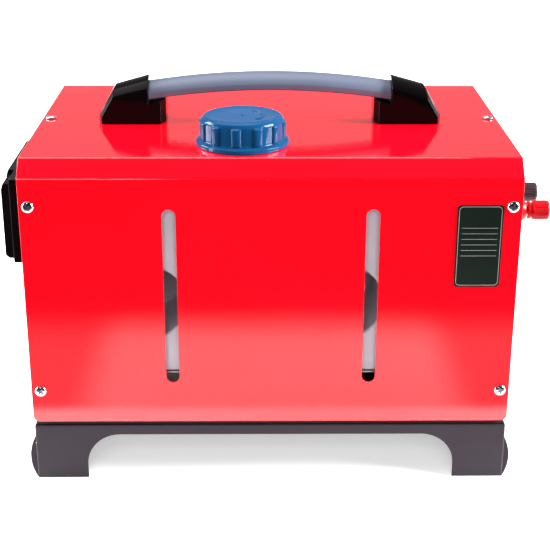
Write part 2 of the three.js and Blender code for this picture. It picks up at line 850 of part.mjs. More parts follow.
function tankOutlet() {
  const flangeTop = tankFloor - gap;
  const flangeFloor = flangeTop - drainFlangeThickness;
  const stemTop = tankFloor + tankWall + drainStemRise;
  const fitting = turned([
    [nippleBore, drainTip], [nippleRadius, drainTip], [nippleRadius, flangeFloor],
    [drainFlangeRadius, flangeFloor], [drainFlangeRadius, flangeTop], [drainStemRadius, flangeTop],
    [drainStemRadius, stemTop],
    [nippleBore, stemTop], [nippleBore, drainTip]], smallFacets);
  return fitting.translate(drainShift, fuelLine, 0);
}

function capSeal() {
  const floor = topHeight + neckRise + gap / 2;
  return pipe(neckRadius, neckRadius - neckWall, sealThickness, largeFacets)
    .translate(neckShift, neckSetback, floor);
}

function fuelCap() {
  const bowl = turned([
    [capBore, gap], [capLipRadius, gap], [capLipRadius, capLipHeight - capLipBevel],
    [capLipRadius - capLipBevel, capLipHeight], [capRadius, capLipHeight + capLipBevel / 2],
    [capRadius, capHeight - capBevel], [capRadius - capBevel, capHeight], [0, capHeight],
    [0, capHeight - capTop], [capBore, capHeight - capTop], [capBore, gap]], capFacets);
  const ribs = [];
  for (let i = 0; i < capRibs; i += 1) {
    const angle = THREE.MathUtils.degToRad(capRibTurn - 90) + (2 * Math.PI * i) / capRibs;
    const reach = capRadius + capRibProud - capRibRadius;
    const rib = rod(capRibRadius, capHeight - 2 * capBevel, holeFacets);
    ribs.push(rib.translate(reach * Math.cos(angle), reach * Math.sin(angle), over));
  }
  return join(bowl, ...ribs).translate(neckShift, neckSetback, topHeight);
}

// ---------------------------------------------------------------- shelves

// A folded bench: a top on two legs with feet turned in, drawn across x and z.
function bench(left, right, top, front, back) {
  const s = shelfSheet;
  return alongY(outline([
    [left, deck], [left + shelfFoot, deck], [left + shelfFoot, deck + s], [left + s, deck + s],
    [left + s, top - s], [right - s, top - s], [right - s, deck + s], [right - shelfFoot, deck + s],
    [right - shelfFoot, deck], [right, deck], [right, top], [left, top],
  ]), front, back);
}

function tankShelf() {
  const top = tankFloor - gap;
  const drain = rod(drainFlangeRadius + shelfHoleMargin, drill)
    .translate(drainShift, fuelLine, top - drill / 2);
  const [left, right] = [tankLeft - shelfMargin, tankRight + shelfMargin];
  return cut(bench(left, right, top, tankSetback, tankSetback + tankDepth), drain);
}

function supplyShelf() {
  const half = coreLength / 2 + 3 * shelfMargin;
  const front = supplySetback - supplyDepth / 2;
  const shelf = bench(-half, half, coreTop + shelfRise, front, front + supplyDepth);
  const airWay = rod(guardRadius + shelfHoleMargin, 2 * (half + over), largeFacets);
  return cut(shelf, onCore(airWay, -half - over));
}

// ---------------------------------------------------------------- fuel line

// Turned about the fuel line's own axis, which runs in x under the tank.
function onFuelLine(geometry, x) {
  return layX(geometry, x, fuelLine, pumpAxisHeight);
}

function fuelPump() {
  const end = pumpLength + pumpEndLength;
  const body = turned([
    [0, -pumpEndLength - nippleLength], [nippleRadius, -pumpEndLength - nippleLength],
    [nippleRadius, -pumpEndLength], [pumpEndRadius, -pumpEndLength], [pumpEndRadius, 0], [pumpRadius, 0],
    [pumpRadius, pumpLength], [pumpEndRadius, pumpLength], [pumpEndRadius, end], [nippleRadius, end],
    [nippleRadius, end + nippleLength], [0, end + nippleLength]], smallFacets);
  const cylinder = rod(plungerRadius + gap, plungerRoom, smallFacets)
    .translate(0, 0, (pumpLength - plungerRoom) / 2);
  const bore = rod(nippleBore, 2 * (end + nippleLength), holeFacets).translate(0, 0, -end);
  return onFuelLine(cut(body, cylinder, bore), pumpLeft);
}

function pumpPlunger() {
  return onFuelLine(rod(plungerRadius, plungerLength, smallFacets), pumpShift - plungerRoom / 2 + gap);
}

function pumpClamp() {
  const x0 = pumpShift - clampWidth / 2;
  const strap = layX(rod(pumpRadius + gap + clampWall, clampWidth), x0, fuelLine, pumpAxisHeight);
  const foot = block(
    x0, x0 + clampWidth, fuelLine - clampFoot, fuelLine + clampFoot, deck, deck + shelfSheet);
  const stem = block(
    x0, x0 + clampWidth, fuelLine - pumpRadius / 2, fuelLine + pumpRadius / 2, deck, pumpAxisHeight);
  const hole = layX(rod(pumpRadius + gap, clampWidth + 2 * over), x0 - over, fuelLine, pumpAxisHeight);
  return cut(join(strap, foot, stem), hole);
}

function fuelFilter() {
  const reach = filterLength + filterSleeveLength;
  const body = turned([
    [0, -nippleLength], [nippleRadius, -nippleLength], [nippleRadius, 0],
    [filterRadius - filterBevel, 0], [filterRadius, filterBevel],
    [filterRadius, filterLength - filterBevel], [filterRadius - filterBevel, filterLength],
    [filterSleeveRadius, filterLength], [filterSleeveRadius, reach], [0, reach]], smallFacets);
  const chamber = rod(filterRadius - filterWall, filterLength - 4 * filterWall, smallFacets)
    .translate(0, 0, 2 * filterWall);
  const bore = rod(nippleBore, 2 * reach, holeFacets).translate(0, 0, -reach / 2);
  const sleeveDepth = nippleLength + gap;
  const sleeve = rod(nippleRadius + gap, sleeveDepth + over, smallFacets)
    .translate(0, 0, reach - sleeveDepth);
  return onFuelLine(cut(body, chamber, bore, sleeve), filterRight - filterLength);
}

function hoseTankToFilter() {
  const start = drainTip - gap;
  const end = filterRight - filterLength - nippleLength - gap;
  const drop = start - pumpAxisHeight;
  return swept([
    [drainShift, fuelLine, start],
    [drainShift, fuelLine, start - 0.15 * drop],
    [drainShift, fuelLine, start - 0.3 * drop],
    [drainShift + 0.3 * drop, fuelLine, pumpAxisHeight + 0.2 * drop],
    [drainShift + 0.9 * drop, fuelLine, pumpAxisHeight],
    [end - hoseLead, fuelLine, pumpAxisHeight],
    [end, fuelLine, pumpAxisHeight],
  ], hoseRadius, 10);
}

function hosePumpToBurner() {
  const start = pumpRight + pumpEndLength + nippleLength + gap;
  const end = coreFront - nippleLength - gap;
  const rise = coreAxisHeight - fuelInletDrop - pumpAxisHeight;
  return swept([
    [start, fuelLine, pumpAxisHeight],
    [start + hoseLead, fuelLine, pumpAxisHeight],
    [start + 2 * hoseLead, fuelLine, pumpAxisHeight],
    [plugShift - hoseTurn, fuelLine + hoseBend, pumpAxisHeight + 0.2 * rise],
    [plugShift, fuelLine + hoseSweep, pumpAxisHeight + 0.65 * rise],
    [plugShift, end - 2 * hoseLead, pumpAxisHeight + rise],
    [plugShift, end - hoseLead, pumpAxisHeight + rise],
    [plugShift, end, pumpAxisHeight + rise],
  ], hoseRadius, 14);
}

// ---------------------------------------------------------------- heater core

// Turned about the core's axis, with its foot at x.
function onCore(geometry, x) {
  return layX(geometry, x, coreSetback, coreAxisHeight);
}

function coreShell() {
  const half = coreLength / 2;
  const solidShape = (wall) => roundedOutline(
    coreFront + wall, coreFront + coreWidth - wall, coreFloor + wall, coreTop - wall, coreCorner - wall);
  const outside = alongX(solidShape(0), -half, half, 3);
  const inside = alongX(solidShape(coreWall), -half + coreWall, half - coreWall, 3);
  const airWay = onCore(rod(coreBore, coreLength + 2 * over, largeFacets), -half - over);
  const stubs = [exhaustShift, stubShift].map((x) =>
    rod(stubRadius + gap, drill, smallFacets).translate(x, coreSetback, coreFloor - drill / 2));
  const fuel = rod(nippleRadius + gap, 2 * drill, smallFacets);
  const fuelWay = layY(fuel, plugShift, coreFront - drill, coreAxisHeight - fuelInletDrop);
  return cut(outside, inside, airWay, ...stubs, fuelWay);
}

function heaterLowerShell() {
  const half = coreLength / 2;
  const upper = block(
    -half - over, half + over, coreFront - over, coreFront + coreWidth + over,
    coreAxisHeight - gap / 2, coreTop + over);
  const rails = [-1, 1].map((side) => {
    const x = (side * railSpacing) / 2;
    return block(
      x - railWidth / 2, x + railWidth / 2, coreSetback - railLength / 2, coreSetback + railLength / 2,
      deck, coreFloor + coreWall / 2);
  });
  return join(cut(coreShell(), upper), ...rails);
}

function heaterUpperShell() {
  const half = coreLength / 2;
  const lower = block(
    -half - over, half + over, coreFront - over, coreFront + coreWidth + over,
    coreFloor - over, coreAxisHeight + gap / 2);
  return cut(coreShell(), lower);
}

function heatExchanger() {
  const points = [];
  for (let i = 0; i < finCount; i += 1) {
    const pitch = (2 * Math.PI) / finCount;
    const half = (finShare * pitch) / 2;
    const middle = i * pitch;
    const slim = (half * exchangerRadius) / finReach;
    points.push([exchangerRadius, middle - half], [finReach, middle - slim]);
    points.push([finReach, middle + slim], [exchangerRadius, middle + half]);
  }
  const star = outline(points.map(([radius, angle]) => [
    coreSetback + radius * Math.cos(angle), coreAxisHeight + radius * Math.sin(angle)]));
  const body = alongX(star, exchangerStart, exchangerEnd);
  const seat = stubRadius + stubWall;
  const boss = block(
    exhaustShift - seat, exhaustShift + seat, coreSetback - seat, coreSetback + seat,
    coreAxisHeight - finReach - over, coreAxisHeight - exchangerRadius + stubRadius / 3);
  const bore = onCore(rod(exchangerBore, exchangerLength), exchangerStart + exchangerBack);
  const exhaust = rod(stubRadius - stubWall, finReach, smallFacets)
    .translate(exhaustShift, coreSetback, coreAxisHeight - finReach - 2 * over);
  return cut(join(body, boss), bore, exhaust);
}

function burner() {
  return onCore(pipe(burnerRadius, burnerRadius - burnerWall, burnerLength), exchangerEnd - burnerLength);
}

// Carries the burner, the glow plug, the fuel inlet and the pocket of the combustion impeller.
function combustionHousing() {
  const drum = onCore(rod(chamberRadius, chamberLength, largeFacets), chamberStart);
  const pocket = onCore(rod(impellerRadius + 2 * play, impellerPocket + over), chamberEnd - impellerPocket);
  const shaftWay = onCore(rod(shaftRadius + play, chamberLength + 2 * over, holeFacets), chamberStart - over);
  const plug = rod(glowPlugRadius + gap, chamberRadius, smallFacets)
    .translate(plugShift, coreSetback, coreAxisHeight + shaftRadius + 2 * play);
  const nippleHeight = coreAxisHeight - fuelInletDrop;
  const nippleFoot = coreSetback - chamberRadius / 4;
  const nippleTip = coreFront - nippleLength;
  const nipple = layY(
    rod(nippleRadius, nippleFoot - nippleTip, smallFacets), plugShift, nippleTip, nippleHeight);
  const intake = rod(stubRadius - stubWall, 2 * burnerRadius, smallFacets)
    .translate(stubShift, coreSetback, coreAxisHeight - chamberRadius - burnerRadius);
  return cut(join(drum, nipple), pocket, shaftWay, plug, intake);
}

function combustionImpeller() {
  const plate = onCore(rod(impellerRadius, impellerLength / 4), impellerStart);
  const hub = onCore(rod(impellerHub, impellerLength, smallFacets), impellerStart);
  const vanes = [];
  for (let i = 0; i < impellerVanes; i += 1) {
    const vane = block(0, impellerLength, -vaneHalf, vaneHalf, impellerHub - over, impellerRadius);
    vane.rotateX((2 * Math.PI * i) / impellerVanes);
    vanes.push(vane.translate(impellerStart, coreSetback, coreAxisHeight));
  }
  const bore = onCore(rod(shaftRadius + gap, chamberLength, holeFacets), chamberStart);
  return cut(join(plate, hub, ...vanes), bore);
}

function glowPlug() {
  const foot = coreAxisHeight + shaftRadius + 2 * play + gap;
  return turned([
    [0, 0], [glowPlugRadius, 0], [glowPlugRadius, glowPlugLength - glowPlugTip],
    [glowPlugRadius / 2, glowPlugLength - glowPlugTip], [glowPlugRadius / 2, glowPlugLength],
    [0, glowPlugLength]], smallFacets).translate(plugShift, coreSetback, foot);
}

function blowerMotor() {
  const can = onCore(rod(motorRadius, motorLength), motorStart);
  const spider = [0, 1, 2].map((i) => {
    const arm = block(
      0, spiderLength, -spiderWidth / 2, spiderWidth / 2,
      motorRadius - over, coreWidth / 2 - coreWall - over);
    arm.rotateX((2 * Math.PI * (i + 0.5)) / 3);
    return arm.translate(motorStart + spiderLength / 2, coreSetback, coreAxisHeight);
  });
  const bore = onCore(rod(shaftRadius + play, motorLength + 2 * over, holeFacets), motorStart - over);
  return cut(join(can, ...spider), bore);
}

// The fan, its hub and the shaft that runs on through the motor to the combustion impeller.
function fanWheel() {
  const hub = onCore(rod(fanHub, fanLength), fanStart);
  const shaft = onCore(rod(shaftRadius, fanStart + fanLength - impellerStart, holeFacets), impellerStart);
  const blades = [];
  for (let i = 0; i < fanBlades; i += 1) {
    const blade = block(-fanLength / 2, fanLength / 2, -vaneHalf, vaneHalf, fanHub - 2 * over, fanRadius);
    blade.rotateZ(THREE.MathUtils.degToRad(fanPitch)).rotateX((2 * Math.PI * i) / fanBlades);
    blades.push(blade.translate(fanStart + fanLength / 2, coreSetback, coreAxisHeight));
  }
  return join(hub, shaft, ...blades);
}

function controlBoard() {
  const floor = coreAxisHeight + boardRise;
  const board = block(
    motorStart, motorStart + boardWidth, coreSetback - boardDepth / 2, coreSetback + boardDepth / 2,
    floor, floor + boardThickness / 4);
  const chip = block(
    motorStart + boardWidth / 6, motorStart + (5 * boardWidth) / 6,
    coreSetback - boardDepth / 4, coreSetback + boardDepth / 4, floor, floor + boardThickness);
  return join(board, chip);
}

// Exhaust and intake stubs point down through the base.
function airStub(x, top) {
  return pipe(stubRadius, stubRadius - stubWall, top - stubEnd, smallFacets)
    .translate(x, coreSetback, stubEnd);
}

function inletGuard() {
  const rim = pipe(guardRadius, guardRadius - guardBar, guardThickness, largeFacets);
  const ring = pipe((guardRadius + guardBar) / 2, (guardRadius - guardBar) / 2, guardThickness);
  const reach = guardRadius - over;
  const bars = [0, 1].map((i) =>
    block(-guardBar / 2, guardBar / 2, -reach, reach, 0, guardThickness).rotateZ((Math.PI * i) / 2));
  return onCore(join(rim, ring, ...bars), coreLength / 2 + gap);
}

// ---------------------------------------------------------------- warm-air outlet

// A flange outside the left side panel with a collar that runs back to the core's shell.
function outletRing() {
  const panel = -halfWidth;
  const collarEnd = -coreLength / 2 - gap;
  const flange = pipe(outletFlange, outletBore, outletFlangeThickness, largeFacets);
  const collar = pipe(outletCollar, outletBore, collarEnd - panel + over, largeFacets);
  return join(onCore(flange, panel - outletFlangeThickness), onCore(collar, panel - over));
}

function outletLouver() {
  const radius = outletBore - play;
  const tilt = THREE.MathUtils.degToRad(louverTilt);
  const rim = pipe(radius, radius - louverRim, louverDepth, largeFacets);
  const lean = (louverSlatDepth * Math.sin(tilt) + louverSlatThickness) / 2;
  const slats = [];
  for (let i = 0; i < louverSlats; i += 1) {
    const place = ((i - (louverSlats - 1) / 2) * 2 * (radius - louverRim)) / louverSlats;
    const half = Math.sqrt(radius ** 2 - (Math.abs(place) + lean) ** 2) - louverRim / 2;
    const slat = block(
      -louverSlatThickness / 2, louverSlatThickness / 2, -half, half,
      -louverSlatDepth / 2, louverSlatDepth / 2);
    slats.push(slat.rotateY(tilt).translate(place, 0, louverDepth / 2));
  }
  return onCore(join(rim, ...slats), -halfWidth - outletFlangeThickness);
}

// ---------------------------------------------------------------- controller

function buttonPlace(i) {
  return {
    y: controllerSetback + moduleWidth / 2,
    z: controllerFloor + buttonFloor + buttonHeight / 2 + i * buttonPitch,
  };
}

function buttonBlock(i, clearance, depth) {
  const { y, z } = buttonPlace(i);
  return block(
    controllerFace - (clearance > 0 ? 1 : 0), controllerFace + depth,
    y - buttonWidth / 2 - clearance, y + buttonWidth / 2 + clearance,
    z - buttonHeight / 2 - clearance, z + buttonHeight / 2 + clearance);
}

// The end view of one module in x and z: bevelled along its outer edges.
function moduleOutline(height) {
  const inner = -halfWidth;
  const b = controllerBevel;
  const top = controllerFloor + height;
  return outline([
    [controllerFace + b, controllerFloor], [controllerFace, controllerFloor + b],
    [controllerFace, top - 1.8 * b], [controllerFace + 0.6 * b, top], [inner, top], [inner, controllerFloor],
  ]);
}

function screenOpening(clearance, depth) {
  const y = controllerSetback + moduleWidth + displayWidth / 2;
  const z = controllerFloor + screenFloor;
  return block(
    controllerFace - (clearance > 0 ? 1 : 0), controllerFace + depth,
    y - screenWidth / 2 - clearance, y + screenWidth / 2 + clearance,
    z - clearance, z + screenHeight + clearance);
}

function controllerHousing() {
  const front = controllerSetback;
  const middle = front + moduleWidth;
  const back = middle + displayWidth;
  const m = controllerPlateMargin;
  const plate = block(
    -halfWidth - controllerPlate, -halfWidth, front - m, back + m,
    controllerFloor - m, controllerFloor + displayHeight);
  const buttonModule = alongY(moduleOutline(moduleHeight), front, middle + over);
  const displayModule = alongY(moduleOutline(displayHeight), middle, back);
  const pockets = [];
  for (let i = 0; i < buttonCount; i += 1) {
    pockets.push(buttonBlock(i, play / 2, buttonLength + buttonTravel + gap));
  }
  return cut(join(plate, buttonModule, displayModule), ...pockets, screenOpening(gap, screenThickness + gap));
}

// ---------------------------------------------------------------- terminals

// Turned about a terminal's own axis, with its foot at a distance from the side of the case.
function onTerminal(geometry, offset, setback) {
  return layX(geometry, halfWidth + offset, setback, terminalHeight);
}

function terminalBase(setback) {
  const base = turned([
    [terminalStudRadius + gap, 0], [terminalBaseRadius, 0], [terminalBaseRadius, 0.4 * terminalBaseLength],
    [terminalBaseNose, terminalBaseLength], [terminalStudRadius + gap, terminalBaseLength],
    [terminalStudRadius + gap, 0]]);
  return onTerminal(base, 0, setback);
}

const washerStart = terminalBaseLength + gap;
const ringStart = washerStart + terminalWasherThickness + gap;
const knobStart = terminalReach - knobLength;

function terminalStud(setback) {
  const r = terminalStudRadius;
  const stud = turned([
    [0, -terminalStudInside], [r, -terminalStudInside], [r, washerStart], [terminalWasherRadius, washerStart],
    [terminalWasherRadius, washerStart + terminalWasherThickness], [r, washerStart + terminalWasherThickness],
    [r, knobStart + knobBore - gap], [0, knobStart + knobBore - gap]], smallFacets);
  return onTerminal(stud, 0, setback);
}

function clampRing(setback) {
  const bore = terminalStudRadius + gap;
  return onTerminal(pipe(clampRingRadius, bore, clampRingLength), ringStart, setback);
}

function terminalKnob(setback) {
  const collarStart = ringStart + clampRingLength + gap;
  const flutes = [];
  for (let i = 0; i < 2 * knobFlutes; i += 1) {
    const angle = (Math.PI * i) / knobFlutes;
    const radius = i % 2 === 0 ? knobRadius : knobRadius - knobFluteDepth;
    flutes.push([radius * Math.cos(angle), radius * Math.sin(angle)]);
  }
  const grip = alongZ(outline(flutes), collarStart, terminalReach);
  const form = turned([
    [0, collarStart], [knobNeck, collarStart], [knobNeck, knobStart], [knobRadius, knobStart],
    [knobRadius, terminalReach - knobBevel], [knobRadius - knobBevel, terminalReach],
    [0, terminalReach]], 2 * knobFlutes);
  const thread = rod(terminalStudRadius + gap, knobStart + knobBore - collarStart + over, smallFacets)
    .translate(0, 0, collarStart - over);
  return onTerminal(cut(common(grip, form), thread), 0, setback);
}

// ---------------------------------------------------------------- mains inlet and supply

const rockerPivot = [mainsShift, caseDepth - rockerSink, mainsHeight + rockerRise];

function mainsInlet() {
  const x = mainsShift;
  const flange = block(
    x - mainsFlangeWidth / 2, x + mainsFlangeWidth / 2,
    caseDepth + gap, caseDepth + gap + mainsFlangeThickness,
    mainsHeight - mainsFlangeHeight / 2, mainsHeight + mainsFlangeHeight / 2);
  const body = block(
    x - mainsBodyWidth / 2, x + mainsBodyWidth / 2, caseDepth - mainsBodyDepth, caseDepth + gap + over,
    mainsHeight - mainsBodyHeight / 2, mainsHeight + mainsBodyHeight / 2);
  const z = mainsHeight - socketDrop;
  const face = caseDepth + gap + mainsFlangeThickness;
  const bevel = socketBevel;
  const socket = alongY(outline([
    [x - socketWidth / 2, z - socketHeight / 2], [x + socketWidth / 2, z - socketHeight / 2],
    [x + socketWidth / 2, z + socketHeight / 2 - bevel], [x + socketWidth / 2 - bevel, z + socketHeight / 2],
    [x - socketWidth / 2 + bevel, z + socketHeight / 2], [x - socketWidth / 2, z + socketHeight / 2 - bevel],
  ]), face - socketDepth, face + over);
  const pins = [-1, 0, 1].map((i) => block(
    x + i * pinSpacing - pinWidth / 2, x + i * pinSpacing + pinWidth / 2,
    face - socketDepth - over, face - pinSink,
    z + (i === 0 ? 0 : -pinHeight), z + (i === 0 ? pinHeight : 0)));
  const drum = rod(rockerRadius + play, rockerWidth + 2 * play);
  const pocket = layX(drum, x - rockerWidth / 2 - play, rockerPivot[1], rockerPivot[2]);
  return join(cut(join(flange, body), socket, pocket), ...pins);
}

// A drum behind the pivot and a dished face in front of it, drawn across y and z.
function mainsSwitch() {
  const edge = Math.acos(rockerFace / rockerRadius);
  const shape = new THREE.Shape();
  shape.moveTo(rockerFace - rockerDish, 0);
  shape.absarc(0, 0, rockerRadius, edge, 2 * Math.PI - edge, false);
  const rocker = alongX(shape, -rockerWidth / 2, rockerWidth / 2, mediumFacets / 2);
  rocker.rotateX(THREE.MathUtils.degToRad(rockerTilt));
  return rocker.translate(...rockerPivot);
}

// A sheet-metal case with slots through its top.
function powerSupply() {
  const floor = coreTop + shelfRise + gap;
  const top = floor + supplyHeight;
  const front = supplySetback - supplyDepth / 2;
  const back = front + supplyDepth;
  const half = supplyWidth / 2;
  const wall = supplySheet;
  const box = block(-half, half, front, back, floor, top);
  const inside = block(-half + wall, half - wall, front + wall, back - wall, floor + wall, top - wall);
  const vents = [];
  for (let i = 0; i < supplyVents; i += 1) {
    const x = ((i - (supplyVents - 1) / 2) * supplyWidth) / (supplyVents + 1);
    vents.push(block(
      x - ventWidth / 2, x + ventWidth / 2, front + ventMargin, back - ventMargin,
      top - 2 * wall, top + over));
  }
  return cut(box, inside, ...vents);
}

// ---------------------------------------------------------------- assembly

function paint(colour, roughness, metalness) {
  return { color: colour, roughness, metalness };
}

const redPaint = paint(0xe8101c, 0.25, 0);
const blackPaint = paint(0x4a4448, 0.45, 0);
const blackPlastic = paint(0x141416, 0.4, 0);
const zinc = paint(0xd8dadc, 0.3, 1);
const steel = paint(0x9a9c9e, 0.4, 1);
const castAluminium = paint(0xa8aaab, 0.55, 0.9);
const brass = paint(0xc9a54a, 0.3, 1);
const whitePlastic = paint(0xe6e8ea, 0.5, 0);
const rubber = paint(0x1c1c1c, 0.8, 0);

const heater = new THREE.Group();

function add(name, geometry, finish, parent = heater) {
  const mesh = new THREE.Mesh(geometry, new THREE.MeshStandardMaterial(finish));
  mesh.name = name;
  parent.add(mesh);
  return mesh;
}

add('outer_cover', outerCover(), redPaint);
add('side_panel_left', sidePanelLeft(), redPaint);
add('side_panel_right', sidePanelRight(), redPaint);
add('base_tray', baseTray(), blackPaint);
add('rating_plate', ratingPlate(), blackPlastic);

for (const screw of caseScrews) {
  const seat = screwSeat(screw);
  const mesh = add(screw.name, caseScrew(), zinc);
  mesh.position.set(...seat.position);
  mesh.rotation.set(...seat.rotation);
}

add('handle_grip', handleGrip(), paint(0x8790ac, 0.45, 0));
add('handle_end_left', mirrored(handleEnd()), blackPlastic);
add('handle_end_right', handleEnd(), blackPlastic);

add('fuel_tank', fuelTank(), whitePlastic);
add('tank_shelf', tankShelf(), steel);
add('tank_outlet', tankOutlet(), brass);
add('cap_seal', capSeal(), rubber);
add('fuel_cap', fuelCap(), paint(0x0f4d92, 0.25, 0));

add('fuel_filter', fuelFilter(), whitePlastic);
add('fuel_pump', fuelPump(), steel);
add('pump_plunger', pumpPlunger(), steel);
add('pump_clamp', pumpClamp(), rubber);
add('hose_tank_to_filter', hoseTankToFilter(), rubber);
add('hose_pump_to_burner', hosePumpToBurner(), rubber);

add('heater_lower_shell', heaterLowerShell(), blackPlastic);
add('heater_upper_shell', heaterUpperShell(), blackPlastic);
add('heat_exchanger', heatExchanger(), castAluminium);
add('burner', burner(), steel);
add('combustion_housing', combustionHousing(), castAluminium);
add('combustion_impeller', combustionImpeller(), castAluminium);
add('glow_plug', glowPlug(), steel);
add('blower_motor', blowerMotor(), steel);
add('fan_wheel', fanWheel(), blackPlastic);
add('control_board', controlBoard(), paint(0x1f6b3a, 0.5, 0));
add('exhaust_pipe', airStub(exhaustShift, coreAxisHeight - finReach - over - gap), steel);
add('intake_pipe', airStub(stubShift, coreAxisHeight - chamberRadius - gap), blackPlastic);
add('inlet_guard', inletGuard(), blackPlastic);

add('outlet_ring', outletRing(), blackPlastic);
add('outlet_louver', outletLouver(), blackPlastic);

add('controller_housing', controllerHousing(), blackPlastic);
add('controller_screen', screenOpening(0, screenThickness), paint(0x1d2a33, 0.1, 0));
for (let i = 0; i < buttonCount; i += 1) {
  add(`controller_button_${i + 1}`, buttonBlock(i, 0, buttonLength), paint(0x2b2b2e, 0.6, 0));
}

for (const [colour, setback, tint] of [['red', redSetback, 0xd31525], ['black', blackSetback, 0x3a3639]]) {
  add(`${colour}_terminal_base`, terminalBase(setback), paint(tint, 0.35, 0));
  add(`${colour}_terminal_stud`, terminalStud(setback), brass);
  add(`${colour}_clamp_ring`, clampRing(setback), paint(tint, 0.35, 0));
  add(`${colour}_terminal_knob`, terminalKnob(setback), paint(tint, 0.35, 0));
}

add('supply_shelf', supplyShelf(), steel);
add('power_supply', powerSupply(), steel);
add('mains_inlet', mainsInlet(), blackPlastic);
add('mains_switch', mainsSwitch(), paint(0xb01018, 0.4, 0));

// The footprint runs from the controller to the terminals, and between the screw heads and
// the inlet's flange, so its middle is worked out from those reaches.
const rightReach = halfWidth + terminalReach;
const frontReach = screwHeadHeight + gap;
const backReach = caseDepth + gap + Math.max(mainsFlangeThickness, screwHeadHeight);
heater.position.set(-(rightReach + controllerFace) / 2, -(backReach - frontReach) / 2, 0);

export default heater;
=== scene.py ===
# A diesel air heater: the looks of a red sheet-steel case on a black base, dressed over the
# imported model, which gives every place in metres. The piece sizes below are in millimetres.
import math

import bmesh
import bpy
from mathutils import Matrix, Vector


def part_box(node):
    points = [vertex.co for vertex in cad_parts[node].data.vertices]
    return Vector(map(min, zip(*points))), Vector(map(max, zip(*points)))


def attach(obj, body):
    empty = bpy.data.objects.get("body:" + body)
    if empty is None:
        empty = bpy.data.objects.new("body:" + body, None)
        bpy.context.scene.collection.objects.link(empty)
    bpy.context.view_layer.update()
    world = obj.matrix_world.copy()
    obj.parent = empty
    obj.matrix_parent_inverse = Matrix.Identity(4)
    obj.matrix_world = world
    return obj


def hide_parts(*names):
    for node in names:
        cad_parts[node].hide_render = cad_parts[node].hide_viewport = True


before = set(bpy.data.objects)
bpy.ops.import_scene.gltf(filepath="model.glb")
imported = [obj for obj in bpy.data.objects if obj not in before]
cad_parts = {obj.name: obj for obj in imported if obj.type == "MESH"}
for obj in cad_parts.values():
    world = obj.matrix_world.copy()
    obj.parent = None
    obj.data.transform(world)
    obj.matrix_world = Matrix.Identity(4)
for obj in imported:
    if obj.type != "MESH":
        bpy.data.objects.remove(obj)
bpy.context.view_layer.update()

# ------------------------------------------------------------------ studio
# The heater stands on a pale seamless sheet in front of a white backdrop, photographed with
# a long lens from a little above. Places are given from the case's lower front corner line:
# x from the middle of the case, y from its front face, z from the floor, all in millimetres.
CASE_SHIFT = (-3.65, -130.0)
CAMERA_SPOT = (-7.6, -925.4, 545.1)
CAMERA_PITCH, CAMERA_YAW, CAMERA_ROLL = 21.41, 0.67, 0.17  # degrees
FOCAL_PIXELS, PHOTO_PIXELS = 1261.5, 550
SENSOR = 36.0


def spot(x, y, z):
    """A place on the case, in the row frame's metres."""
    return Vector((x + CASE_SHIFT[0], y + CASE_SHIFT[1], z)) / 1000


def aimed(place, target):
    """A matrix that stands at place and looks at target."""
    turn = (target - place).to_track_quat("-Z", "Y").to_matrix().to_4x4()
    return Matrix.Translation(place) @ turn


pitch, yaw, roll = map(math.radians, (CAMERA_PITCH, CAMERA_YAW, CAMERA_ROLL))
ahead = Vector((
    math.sin(yaw) * math.cos(pitch), math.cos(yaw) * math.cos(pitch), -math.sin(pitch)))
level = Vector((math.cos(yaw), -math.sin(yaw), 0))
across = level * math.cos(roll) + level.cross(ahead) * math.sin(roll)
camera = bpy.data.objects.new("camera", bpy.data.cameras.new("camera"))
camera.data.sensor_width = SENSOR
camera.data.lens = SENSOR * FOCAL_PIXELS / PHOTO_PIXELS
camera.data.clip_start, camera.data.clip_end = 0.01, 50
camera.matrix_world = (
    Matrix.Translation(spot(*CAMERA_SPOT))
    @ Matrix((across, across.cross(ahead), -ahead)).transposed().to_4x4())
bpy.context.collection.objects.link(camera)
bpy.context.scene.camera = camera


def softbox(name, place, target, width, height, power):
    """A rectangular studio lamp of power watts, measured in metres, unseen by the camera."""
    lamp = bpy.data.objects.new(name, bpy.data.lights.new(name, "AREA"))
    lamp.data.shape = "RECTANGLE"
    lamp.data.size, lamp.data.size_y = width, height
    lamp.data.energy = power
    lamp.matrix_world = aimed(Vector(place), Vector(target))
    lamp.visible_camera = False
    bpy.context.collection.objects.link(lamp)


bpy.context.scene.view_settings.view_transform = "Standard"
softbox("front_softbox", (-0.5, -1.9, 1.5), (0, -0.1, 0.2), 0.5, 0.35, 3)
softbox("right_softbox", (1.55, -0.27, 0.92), (0, -0.05, 0.25), 0.9, 0.7, 95)
softbox("left_softbox", (-1.51, 0.43, 0.92), (0, -0.05, 0.25), 0.7, 0.7, 45)
softbox("left_front_softbox", (-1.5, -0.3, 0.6), (0, -0.05, 0.25), 0.3, 0.7, 20)
softbox("overhead_softbox", (-0.54, 0.5, 2.1), (-0.54, 0.5, 0), 2.0, 1.5, 28)
softbox("backdrop_softbox", (0, 1.75, 2.3), (0, 1.75, 0), 4.6, 2.5, 128)
softbox("front_fill", (0, -2.0, 1.0), (0, 0, 0.15), 1.5, 1.0, 24)
for unseen in ("backdrop_softbox", "front_fill"):  # these two only light, and are not mirrored
    bpy.data.objects[unseen].visible_glossy = False

